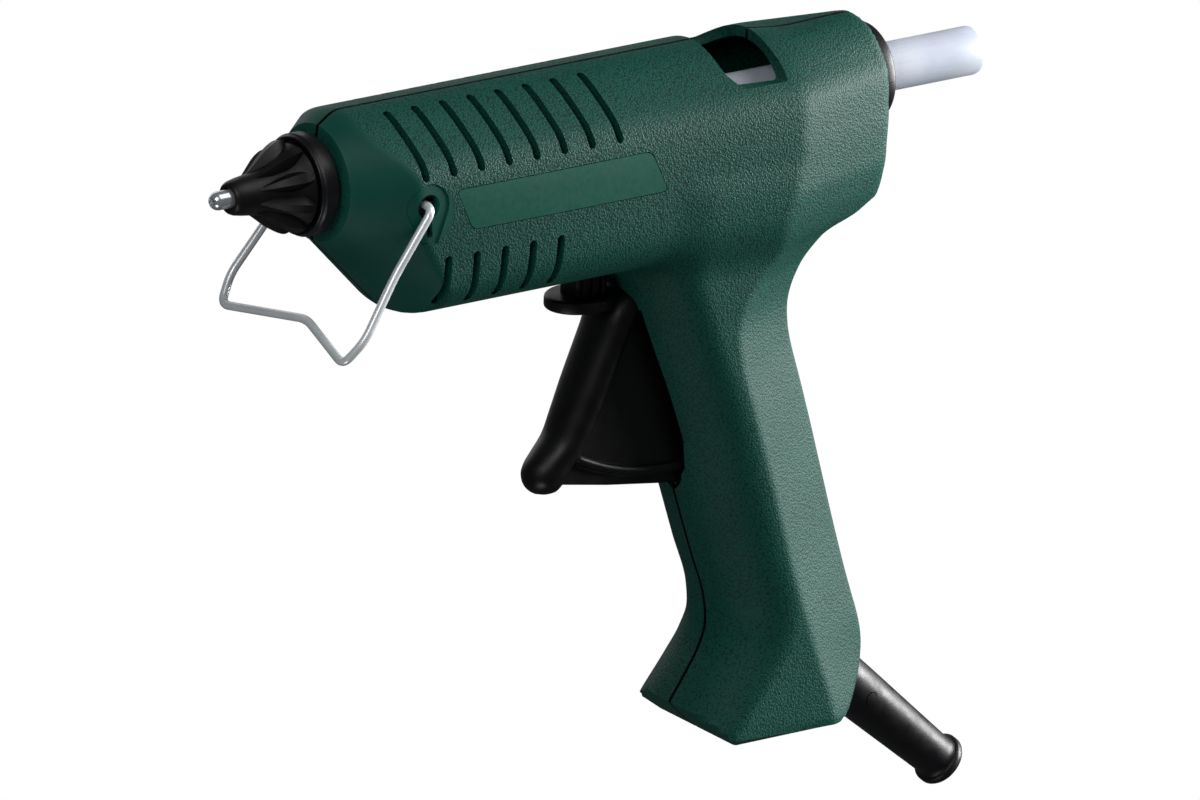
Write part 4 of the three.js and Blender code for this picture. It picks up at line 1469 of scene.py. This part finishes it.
    def shell(self) -> bpy.types.Object:
        """Hollow form with every cut that crosses the middle plane.

        Returns:
            The form, with its outer skin kept aside in self.skin.
        """
        outer = self.form.solid("housing_shell")
        inner = drawn_in(outer, "hollow", WALL)
        apply_modifier(inner, "REMESH", mode="VOXEL", voxel_size=self.hollow_voxel)
        self.skin = copy_of(outer, "skin")
        combine(outer, inner, Cut.TAKE_AWAY)
        window = rounded([
            (105.3, 30, 0), (105.3, 11.5, 1), (108.2, 8.6, 1.4), (119.8, 8.2, 1.4), (121.0, 11.5, 1),
            (121.0, 30, 0),
        ])
        through = self.window_half
        boot = MainsEnd()
        for tool in (
            plate("window", window, Flat.SIDE, -through, through),
            bar("collar_hole", (-1, 0, 0), (4, 0, 0), self.collar_hole),
            bar("bush_hole", (147, 0, 0), (154, 0, 0), self.bush_hole),
            self.trigger_slot(),
            bar("boot_hole", boot.point(-12), boot.point(12), self.boot_hole),
        ):
            combine(outer, tool, Cut.TAKE_AWAY)
        return outer

    def build(self) -> None:
        """Make both halves and both badges."""
        whole = self.shell()
        for side in Side:
            half = copy_of(whole, f"{side.name.lower()}_half")
            near, far = (-60.0, -PARTING) if side is Side.LEFT else (PARTING, 60.0)
            combine(half, slab("keep", (-20, near, -200), (200, far, 60)), Cut.KEEP_COMMON)
            combine(half, join(self.vent_cutters(side)), Cut.TAKE_AWAY)
            keyhole = plate("keyhole", self.keyhole_outline(), Flat.SIDE, *self.flank(side, 15.0))
            combine(half, keyhole, Cut.TAKE_AWAY)
            self.skin_cut(half, self.badge_outline(self.badge_gap), side, self.badge_depth)
            self.skin_cut(half, self.pad_outline(), side, self.pad_depth)
            if side is Side.RIGHT:
                for x, z, seat in self.screws:
                    hole = bar("screw_head", (x, seat, z), (x, FLANK_END, z), self.screw_hole)
                    combine(half, hole, Cut.TAKE_AWAY)
                    self.screw_well(half, x, z, seat)
            badge = plate("badge", self.badge_outline(0), Flat.SIDE, *self.flank(side))
            combine(badge, self.skin, Cut.KEEP_COMMON, keep=True)
            combine(badge, self.lowered_skin(self.badge_thickness), Cut.TAKE_AWAY)
            name = side.name.lower()
            deliver(badge, f"{name}_badge_plate", "housing", BADGE_GREEN, [f"{name}_badge"])
            deliver(half, f"{name}_housing_shell", "housing", HOUSING_GREEN, [f"{name}_housing"])
        bpy.data.objects.remove(whole)
        bpy.data.objects.remove(self.skin)

    def lowered_skin(self, depth: float) -> bpy.types.Object:
        """The outer form drawn in by a depth."""
        return drawn_in(self.skin, "lowered", depth)

    def flank(self, side: Side, start: float = 12.0) -> list[float]:
        """Both ends across the gun of a tool that reaches through a flank, in rising order."""
        return sorted((side.value * start, side.value * FLANK_END))

    def skin_cut(
        self, half: bpy.types.Object, outline: Sequence[Point], side: Side, depth: float
    ) -> None:
        """Sink an outlined area of a flank below the skin.

        Args:
            half: The housing half.
            outline: The area in the side view.
            side: The half's side.
            depth: How deep it is sunk.
        """
        tool = plate("sink", outline, Flat.SIDE, *self.flank(side))
        combine(tool, self.lowered_skin(depth), Cut.TAKE_AWAY)
        combine(half, tool, Cut.TAKE_AWAY)

    def screw_well(self, half: bpy.types.Object, x: float, z: float, seat: float) -> None:
        """Tube wall round a recessed screw, joined to the half from inside.

        Args:
            half: The housing half.
            x: The screw's place along the gun.
            z: The screw's height.
            seat: How far out its head sits.
        """
        bore, wall, foot, top = self.screw_hole, self.well_radius, seat - 1, seat + 12
        tube = turned("well", [(foot, bore), (foot, wall), (top, wall), (top, bore)], 40, ring=True)
        shift(tube, Matrix.Translation((x, 0, z)) @ Matrix.Rotation(math.radians(90), 4, "Z"))
        combine(tube, self.lowered_skin(0.35), Cut.KEEP_COMMON)
        combine(half, tube, Cut.ADD)


# ---------------------------------------------------------------- nozzle end


@dataclass
class NozzleEnd:
    """Metal tip, finned rubber cap and collar ring."""

    tip: float = -27.5
    ball: float = 2.15
    lip: float = -22.8
    collar_front: float = -4.7
    collar_radius: float = 11.7
    fins: int = 9

    def nozzle(self) -> bpy.types.Object:
        """Turned tip with a ball end and a drilled orifice.

        Returns:
            The tip.
        """
        r, tip = self.ball, self.tip
        turns = np.radians(np.linspace(33, 90, 9))
        ball = [(tip + r - r * math.cos(a), r * math.sin(a)) for a in turns]
        profile = [
            (tip + 2.6, 0.9), (tip + 0.7, 1.0), *ball, (self.lip + 2, r), (-13, 4.1), (-12, 5.2),
            (-1, 5.2), (-1, 1.8), (-14, 1.8), (-18, 0.8),
        ]
        return turned("nozzle", profile, 56, ring=True)

    def leaf(self) -> bpy.types.Object:
        """One leaf-shaped fin standing up along z, before it is turned into place.

        Returns:
            The fin.
        """
        base = self.collar_front - 0.9
        deselect_all()
        bpy.ops.mesh.primitive_cube_add(size=2, location=(0, 0, 0))
        fin = bpy.context.object
        bpy.ops.object.mode_set(mode="EDIT")
        bpy.ops.mesh.select_all(action="SELECT")
        bpy.ops.mesh.subdivide(number_cuts=7)
        bpy.ops.object.mode_set(mode="OBJECT")
        points = corners_of(fin)
        share = (points[:, 0] + 1) / 2
        length = base - (self.lip + 5.2)
        top = SmoothRule([(0, 4.2), (0.25, 6.3), (0.5, 8.6), (0.72, 10.1), (0.9, 10.8), (1, 10.5)])(share)
        wide = SmoothRule([(0, 0.2), (0.2, 1.0), (0.5, 2.0), (0.8, 2.6), (0.93, 2.4), (1, 1.7)])(share)
        rise = (points[:, 2] + 1) / 2
        crown = 1 - 0.8 * np.clip(rise - 0.2, 0, 1) ** 1.6
        x = self.lip + 5.2 + share * length
        z = 3.4 + rise * (top - 3.4)
        set_corners(fin, np.stack([x, points[:, 1] * wide * crown, z], 1))
        soften(fin, 0.35, 2, 50)
        apply_modifier(fin, "SUBSURF", levels=1, render_levels=1)
        return fin

    def cap(self) -> bpy.types.Object:
        """Rubber cap: turned cone with a rounded lip and leaf-shaped fins round it.

        Returns:
            The cap.
        """
        lip, base = self.lip, self.collar_front - 0.25
        profile = [
            (lip + 1.5, 2.35), (lip + 0.25, 2.5), (lip, 2.9), (lip + 0.05, 3.2), (lip + 0.45, 3.62),
            (lip + 1.2, 3.95), (lip + 3, 4.3), (lip + 5, 4.55), (lip + 7, 4.9), (lip + 10, 5.8),
            (lip + 13, 7.1), (lip + 15.2, 8.4), (base - 0.9, 9.6), (base, 9.8), (base, 5.6),
            (-13, 5.6), (lip + 6, 2.5),
        ]
        body = turned("nozzle_cap", profile, 72, ring=True)
        for i in range(self.fins):
            fin = self.leaf()
            turn = Matrix.Rotation(2 * math.pi * (i + 0.5) / self.fins, 4, "X")
            combine(body, shift(fin, turn), Cut.ADD)
        return body

    def collar(self) -> bpy.types.Object:
        """Collar ring with a fine raised rim at its front.

        Returns:
            The ring.
        """
        f, r = self.collar_front, self.collar_radius
        profile = [
            (f + 1.4, 10.0), (f + 0.25, 10.3), (f, 10.75), (f, 11.1), (f + 0.15, 11.25),
            (f + 0.5, 11.2), (f + 0.8, 11.35), (f + 1.1, r), (-0.9, r), (-0.25, r - 0.25),
            (-0.1, r - 0.6), (-0.1, 8.3), (3, 8.3), (3, 5.8), (f + 1.4, 5.8),
        ]
        return turned("front_collar", profile, 96, ring=True)

    def build(self) -> None:
        """Make the three pieces."""
        deliver(self.nozzle(), "nozzle_tip", "housing", NOZZLE_METAL, ["nozzle"])
        deliver(self.cap(), "finned_cap", "housing", CAP_RUBBER, ["nozzle_cap"], ROUND_LIMIT)
        deliver(self.collar(), "collar_ring", "housing", BLACK_PLASTIC, ["front_collar"])


# ---------------------------------------------------------------- stand


@dataclass
class WireStand:
    """Folding stand bent from one length of wire."""

    x: float = 17.0
    z: float = -2.0
    length: float = 40.0
    radius: float = 1.0
    leg: float = 23.2
    inner: float = 15.2
    corner_cut: float = 0.24
    notch_rise: float = 5.6
    notch_side: float = -4.6

    def build(self) -> None:
        """Make the stand, swung down to the standing plane."""
        height = self.x * math.sin(TILT) + self.z * math.cos(TILT)
        drop = (height - BodyForm.stand_plane - self.radius) / (self.length - self.corner_cut)
        swing = math.pi / 2 - TILT + math.acos(drop)

        def at(along: float, wide: float) -> tuple[float, float, float]:
            """A point of the stand at a distance along its legs."""
            return (self.x - along * math.cos(swing), wide, self.z - along * math.sin(swing))

        half = [at(0, self.inner), at(0, self.leg), at(17, self.leg), at(33, self.leg + 2),
                at(self.length, self.leg - 0.4)]
        other = [(x, -y, z) for x, y, z in reversed(half)]
        notch = at(self.length - self.notch_rise, self.notch_side)
        piece = wire("wire_stand", bent([*half, notch, *other], 2.6, 10), self.radius, 5)
        deliver(piece, "stand_wire_loop", "stand", STAND_WIRE, ["wire_stand"], math.radians(60))


# ---------------------------------------------------------------- trigger


@dataclass
class TriggerGroup:
    """Trigger with its finger pad, guard plate, post, web and fork."""

    pivot = (102.0, -27.0)
    half: float = 7.0
    web_half: float = 4.2

    def finger(self) -> bpy.types.Object:
        """Crowned finger bar that ends in a round toe, section by section along its middle line.

        Returns:
            The bar.
        """
        line = [
            (-38.8, 92.6), (-39.4, 92.0), (-41.0, 90.4), (-43.2, 88.2), (-46.5, 86.1), (-50, 84.8),
            (-60.6, 80.6), (-68.6, 77.4), (-74.6, 74.6), (-78.6, 71.6), (-80.8, 70.1), (-82.6, 68.9),
            (-83.9, 68.1), (-84.9, 67.6), (-85.4, 67.4),
        ]
        deep = [0.8, 2.5, 4.0, 4.5, 4.6, 4.5, 4.5, 4.4, 4.1, 4.4, 4.8, 4.5, 3.6, 2.2, 0.7]
        wide = [3.0, 5.4, 6.6, 7.0, 7.1, 7.0, 6.9, 6.5, 6.0, 5.6, 5.4, 5.0, 4.0, 2.5, 0.8]
        count, around = 46, 40
        at = np.linspace(0, 1, count) * (len(line) - 1)
        spots = np.arange(len(line), dtype=float)
        middle = np.stack([SmoothRule(list(zip(spots, [p[k] for p in line])))(at) for k in (1, 0)], 1)
        reach = SmoothRule(list(zip(spots, deep)))(at)
        half = SmoothRule(list(zip(spots, wide)))(at)
        along = np.gradient(middle, axis=0)
        along /= np.linalg.norm(along, axis=1)[:, None]
        normal = np.stack([-along[:, 1], along[:, 0]], 1)
        turn = np.linspace(0, 2 * math.pi, around)
        side = middle[:, None, :] + normal[:, None, :] * (reach[:, None] * np.cos(turn)[None, :])[..., None]
        y = half[:, None] * np.sin(turn)[None, :]
        piece = net("finger", np.stack([side[..., 0], y, side[..., 1]], -1))
        clean(piece, 0.002)
        close_rims(piece, bpy.ops.mesh.fill_holes, 0.002, sides=0)
        return piece

    def arc(self, radius: float, first: float, last: float, steps: int = 13) -> list[Point]:
        """Points round the pivot.

        Args:
            radius: Distance from the pivot.
            first: First angle in degrees.
            last: Last angle in degrees.
            steps: Number of points.

        Returns:
            The points in the side view.
        """
        x, z = self.pivot
        turns = np.radians(np.linspace(first, last, steps))
        return [(x + radius * math.cos(a), z + radius * math.sin(a)) for a in turns]

    def web(self) -> bpy.types.Object:
        """Flat web behind the finger bar with a raised bead along its swept foot.

        Returns:
            The web.
        """
        outline = [
            (88, -41), (85, -50), (80.6, -61), (75.2, -75), (75.8, -79), *self.arc(58.4, -116, -80, 12),
            (109, -66), (105.5, -50), (106.5, -32), (102, -22), (92, -24),
        ]
        piece = plate("trigger_web", outline, Flat.SIDE, -self.web_half, self.web_half)
        bead = plate(
            "bead", [*self.arc(55.7, -118, -81, 19), *self.arc(57.6, -81, -118, 19)], Flat.SIDE, -5.4, 5.4
        )
        soften(bead, 0.8, 3, 60)
        combine(piece, bead, Cut.ADD)
        foot = [
            (76, -76), (71, -83.2), (86, -85.9), (102, -88.2), *self.arc(61.2, -89, -82, 4), (108, -76),
        ]
        combine(piece, plate("flange", foot, Flat.SIDE, -2.8, 2.8), Cut.ADD)
        return piece

    def lever(self) -> bpy.types.Object:
        """Finger bar and web in one.

        Returns:
            The joined piece.
        """
        piece = self.web()
        combine(piece, self.finger(), Cut.ADD)
        return piece

    def guard_plate(self) -> bpy.types.Object:
        """Oval plate that closes the slot above the finger.

        Returns:
            The plate.
        """
        turns = np.linspace(0, 2 * math.pi, 48, endpoint=False)
        oval = [(77.7 + 8.8 * math.cos(a), self.half * math.sin(a)) for a in turns]
        piece = plate("guard_plate", oval, Flat.PLAN, -42.4, -39.4)
        soften(piece, 0.7, 3, 50)
        return piece

    def post(self) -> bpy.types.Object:
        """Ribbed post above the plate.

        Returns:
            The post.
        """
        body = plain([(74, -3.4), (83, -3.4), (83, 3.4), (74, 3.4)], 1.2, 3)
        piece = plate("post", body, Flat.PLAN, -41, -24)
        for x in (75.9, 78.5, 81.1):
            rib = [(x - 0.6, -4.1), (x + 0.6, -4.1), (x + 0.6, 4.1), (x - 0.6, 4.1)]
            combine(piece, plate("rib", plain(rib, 0.4, 2), Flat.PLAN, -41, -24), Cut.ADD)
        return piece

    def build(self) -> None:
        """Make the trigger as one piece."""
        x, z = self.pivot
        body = self.lever()
        combine(body, self.guard_plate(), Cut.ADD)
        combine(body, self.post(), Cut.ADD)
        combine(body, bar("hub", (x, -13.8, z), (x, 13.8, z), 5.5), Cut.ADD)
        reach = Vector((105.5 - x, 0 - z))
        up = reach.normalized()
        across = Vector((up.y, -up.x))

        def at(along: float, off: float) -> Point:
            """A point of the fork's side view."""
            spot = Vector((x, z)) + up * along + across * off
            return (spot.x, spot.y)

        notch, foot = 2.2, reach.length - 2.8
        arm = [at(0, -4.6), at(0, 4.6), at(31.5, 4.6), at(31.5, notch), at(foot, notch), at(foot, -notch),
               at(31.5, -notch), at(31.5, -4.6)]
        for span in ((10.8, 13.8), (-13.8, -10.8)):
            combine(body, plate("fork", arm, Flat.SIDE, *span), Cut.ADD)
        slope = Vector((math.cos(TILT), -math.sin(TILT)))
        rise = Vector((math.sin(TILT), math.cos(TILT)))
        corners = ((0, 0), (22.6, -0.3), (22.6, -4.8), (0, -5.2))
        tail = [tuple(Vector((x, z)) + slope * a + rise * b) for a, b in corners]
        combine(body, plate("tail", tail, Flat.SIDE, -5, 5), Cut.ADD)
        combine(body, bar("pin_bore", (x, -20, z), (x, 20, z), 2.3), Cut.TAKE_AWAY)
        deliver(body, "trigger_lever", "trigger", TRIGGER_BLACK, ["trigger"])


# ---------------------------------------------------------------- rear end and mains end


@dataclass
class RearEnd:
    """Guide bush and glue stick."""

    rear: float = 156.0
    radius: float = 11.9
    stick: float = 5.6

    def build(self) -> None:
        """Make the bush and the stick."""
        r = self.radius
        profile = [
            (147, 6.1), (147, 9.0), (152.3, 9.0), (152.3, r - 0.3), (152.6, r), (154.6, r),
            (155.3, r - 0.35), (155.8, r - 1.0), (self.rear, r - 1.9), (self.rear, 8.2),
            (155.6, 7.2), (154.6, 6.5), (153.5, 6.1),
        ]
        bush = turned("bush", profile, 88, ring=True)
        deliver(bush, "guide_bush", "housing", BLACK_PLASTIC, ["rear_bush"])
        s = self.stick
        stick = [(52, 0.4), (52.0, s - 1.1), (52.4, s - 0.4), (53.2, s)]
        stick += [(x, s) for x in np.linspace(60, 178, 12)]
        stick += [(184.7, s), (185.5, s - 0.25), (185.9, s - 0.8), (186.0, s - 1.6), (185.85, 0.4)]
        piece = turned("stick", stick, 64)
        deliver(piece, "hot_melt_stick", "stick", GLUE, ["glue_stick"], ROUND_LIMIT)


@dataclass
class MainsEnd:
    """Bend protector where the cord enters the grip."""

    x: float = 152.0
    z: float = -141.0
    angle: float = math.radians(-40)
    end: float = 48.0

    def point(self, along: float) -> tuple[float, float, float]:
        """A point on the protector's axis."""
        return (self.x + along * math.cos(self.angle), 0.0, self.z + along * math.sin(self.angle))

    def build(self) -> None:
        """Make the protector with its end flange and a faint ejector mark on its flank."""
        e = self.end
        profile = [
            (-4, 3.8), (-4, 8.4), (-1.3, 8.4), (-1.3, 5.7), (5.1, 5.7), (5.1, 6.3), (5.3, 6.45),
            (15, 6.15), (30, 5.6), (e - 4, 5.1), (e - 2.9, 5.15), (e - 2.3, 5.5), (e - 2.1, 5.95),
            (e - 1.8, 6.15), (e - 0.5, 6.15), (e - 0.1, 5.9), (e, 5.5), (e, 4.1), (e - 0.4, 3.8),
        ]
        piece = turned("boot", profile, 80, ring=True)
        mark = turned("mark", [(5.35, 1.5), (5.35, 1.75), (6.3, 1.75), (6.3, 1.5)], 32, ring=True)
        flank = Matrix.Translation((15.5, 0, 0)) @ Matrix.Rotation(math.radians(-102), 4, "Z")
        shift(mark, flank @ Matrix.Translation((0.65, 0, 0)))
        combine(piece, mark, Cut.TAKE_AWAY)
        place = Matrix.Translation((self.x, 0, self.z)) @ Matrix.Rotation(-self.angle, 4, "Y")
        deliver(shift(piece, place), "bend_protector_boot", "housing", CAP_RUBBER, ["bend_protector"])


# ---------------------------------------------------------------- pieces carried over


@dataclass
class CarriedOver:
    """CAD nodes that keep their shape and get a finish."""

    finishes: tuple[tuple[Finish, tuple[str, ...]], ...] = (
        (CHAMBER_METAL, ("melt_chamber",)),
        (CERAMIC, ("heater_element", "front_support_ring", "rear_support_ring")),
        (SILICONE, ("inlet_sleeve", "live_lead")),
        (BLACK_PLASTIC, ("feed_carriage", "cord_clamp")),
        (CAP_RUBBER, ("neutral_lead",)),
        (TERMINAL, ("terminal_block",)),
        (BRASS, ("terminal_screw_1", "terminal_screw_2")),
        (STEEL, (
            "sleeve_clamp", "grip_pawl", "pawl_pin", "trigger_pin", "return_spring",
            "cord_clamp_screw_1", "cord_clamp_screw_2", "front_screw", "middle_screw",
            "rear_screw", "grip_screw", "heel_screw",
        )),
    )

    def build(self) -> None:
        """Dress each node."""
        for finish, names in self.finishes:
            for name in names:
                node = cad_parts[name]
                node.data.materials.clear()
                node.data.materials.append(finish.material())
                LOG.info("dressed %s", name)


# ---------------------------------------------------------------- studio


@dataclass
class Studio:
    """Floor, lights, backdrop and camera."""

    distance: float = 7.0  # metres from the aim to the camera
    lens: float = 936.4
    floor_height: float = -0.0004  # metres, just under the gun's feet
    aim: tuple[float, float, float] = (84.9, 0.0, -66.3)
    toward: tuple[float, float, float] = (-0.58, -0.7416, 0.337)
    across: tuple[float, float, float] = (0.7977, -0.601, 0.0503)

    def floor(self) -> None:
        """Pale floor under the stand, seen from above only."""
        deselect_all()
        bpy.ops.mesh.primitive_grid_add(
            x_subdivisions=8, y_subdivisions=8, size=3.0, location=(0, 0, self.floor_height)
        )
        floor = bpy.context.object
        floor.name = "studio_floor"
        bpy.ops.object.transform_apply(location=True, rotation=False, scale=False)
        material = bpy.data.materials.new("studio_paper")
        material.use_nodes = True
        w = Wiring(material.node_tree)
        w.shader.inputs["Base Color"].default_value = (0.86, 0.86, 0.86, 1)
        w.shader.inputs["Roughness"].default_value = 0.7
        back = w.node("NewGeometry")
        clear = w.node("BsdfTransparent")
        mix = w.node("MixShader")
        w.link(back.outputs["Backfacing"], mix.inputs[0])
        w.link(w.shader.outputs[0], mix.inputs[1])
        w.link(clear.outputs[0], mix.inputs[2])
        w.link(mix.outputs[0], w.tree.nodes["Material Output"].inputs["Surface"])
        floor.data.materials.append(material)
        floor.visible_diffuse = floor.visible_glossy = floor.visible_shadow = False

    def lamp(self, name: str, toward: Sequence[float], far: float, size: float, power: float) -> None:
        """Soft square lamp.

        Args:
            name: Name of the lamp.
            toward: Direction to it from the gun, in the tool frame.
            far: Distance in metres.
            size: Side of the square in metres.
            power: Watts.
        """
        light = bpy.data.lights.new(name, "AREA")
        light.size, light.energy = size, power
        lamp = bpy.data.objects.new(name, light)
        bpy.context.scene.collection.objects.link(lamp)
        aim = TO_PART @ Vector(self.aim)
        way = (TO_PART.to_3x3() @ Vector(toward)).normalized()
        lamp.location = aim + way * far
        lamp.rotation_euler = way.to_track_quat("Z", "Y").to_euler()
        lamp.visible_camera = False

    def build(self) -> None:
        """Set up the studio."""
        self.floor()
        self.lamp("key", (1.0, -0.26, 0.16), 0.9, 0.5, 17)
        self.lamp("top_soft", (0.3, -0.45, 0.95), 1.0, 0.7, 3.4)
        self.lamp("front_fill", (-0.8, -0.45, 0.75), 1.0, 0.5, 2.6)
        self.lamp("low_fill", (-0.7, -0.5, -0.8), 1.0, 0.4, 1.6)
        self.lamp("right_fill", (0.2, 1.0, 0.3), 1.0, 0.8, 1.6)
        world = bpy.data.worlds.new("backdrop")
        bpy.context.scene.world = world
        world.use_nodes = True
        w = Wiring(world.node_tree)
        shown = w.node("Background", in_Color=(1, 1, 1, 1), in_Strength=1.0)
        lit = w.tree.nodes["Background"]
        lit.inputs["Color"].default_value = (0.9, 0.95, 1, 1)
        lit.inputs["Strength"].default_value = 0.07
        rays = w.node("LightPath")
        mix = w.node("MixShader")
        w.link(rays.outputs["Is Camera Ray"], mix.inputs[0])
        w.link(lit.outputs[0], mix.inputs[1])
        w.link(shown.outputs[0], mix.inputs[2])
        w.link(mix.outputs[0], w.tree.nodes["World Output"].inputs["Surface"])
        bpy.context.scene.view_settings.view_transform = "Standard"
        bpy.context.scene.view_settings.look = "None"
        view = bpy.data.cameras.new("camera")
        view.lens, view.sensor_width = self.lens, 36
        view.clip_start, view.clip_end = 0.05, 40
        camera = bpy.data.objects.new("camera", view)
        bpy.context.scene.collection.objects.link(camera)
        turn = TO_PART.to_3x3().normalized()
        back = (turn @ Vector(self.toward)).normalized()
        right = (turn @ Vector(self.across)).normalized()
        up = back.cross(right).normalized()
        right = up.cross(back)
        spot = TO_PART @ Vector(self.aim) + back * self.distance
        camera.matrix_world = Matrix.Translation(spot) @ Matrix((right, up, back)).transposed().to_4x4()
        bpy.context.scene.camera = camera
        LOG.info("studio ready")


def main() -> None:
    """Build the gun, sub-assembly by sub-assembly."""
    logging.basicConfig(level=logging.INFO, format="%(name)s %(message)s")
    for assembly in (
        CarriedOver, Housing, NozzleEnd, WireStand, TriggerGroup, RearEnd, MainsEnd, Studio,
    ):
        assembly().build()


if __name__ == "__main__":
    main()
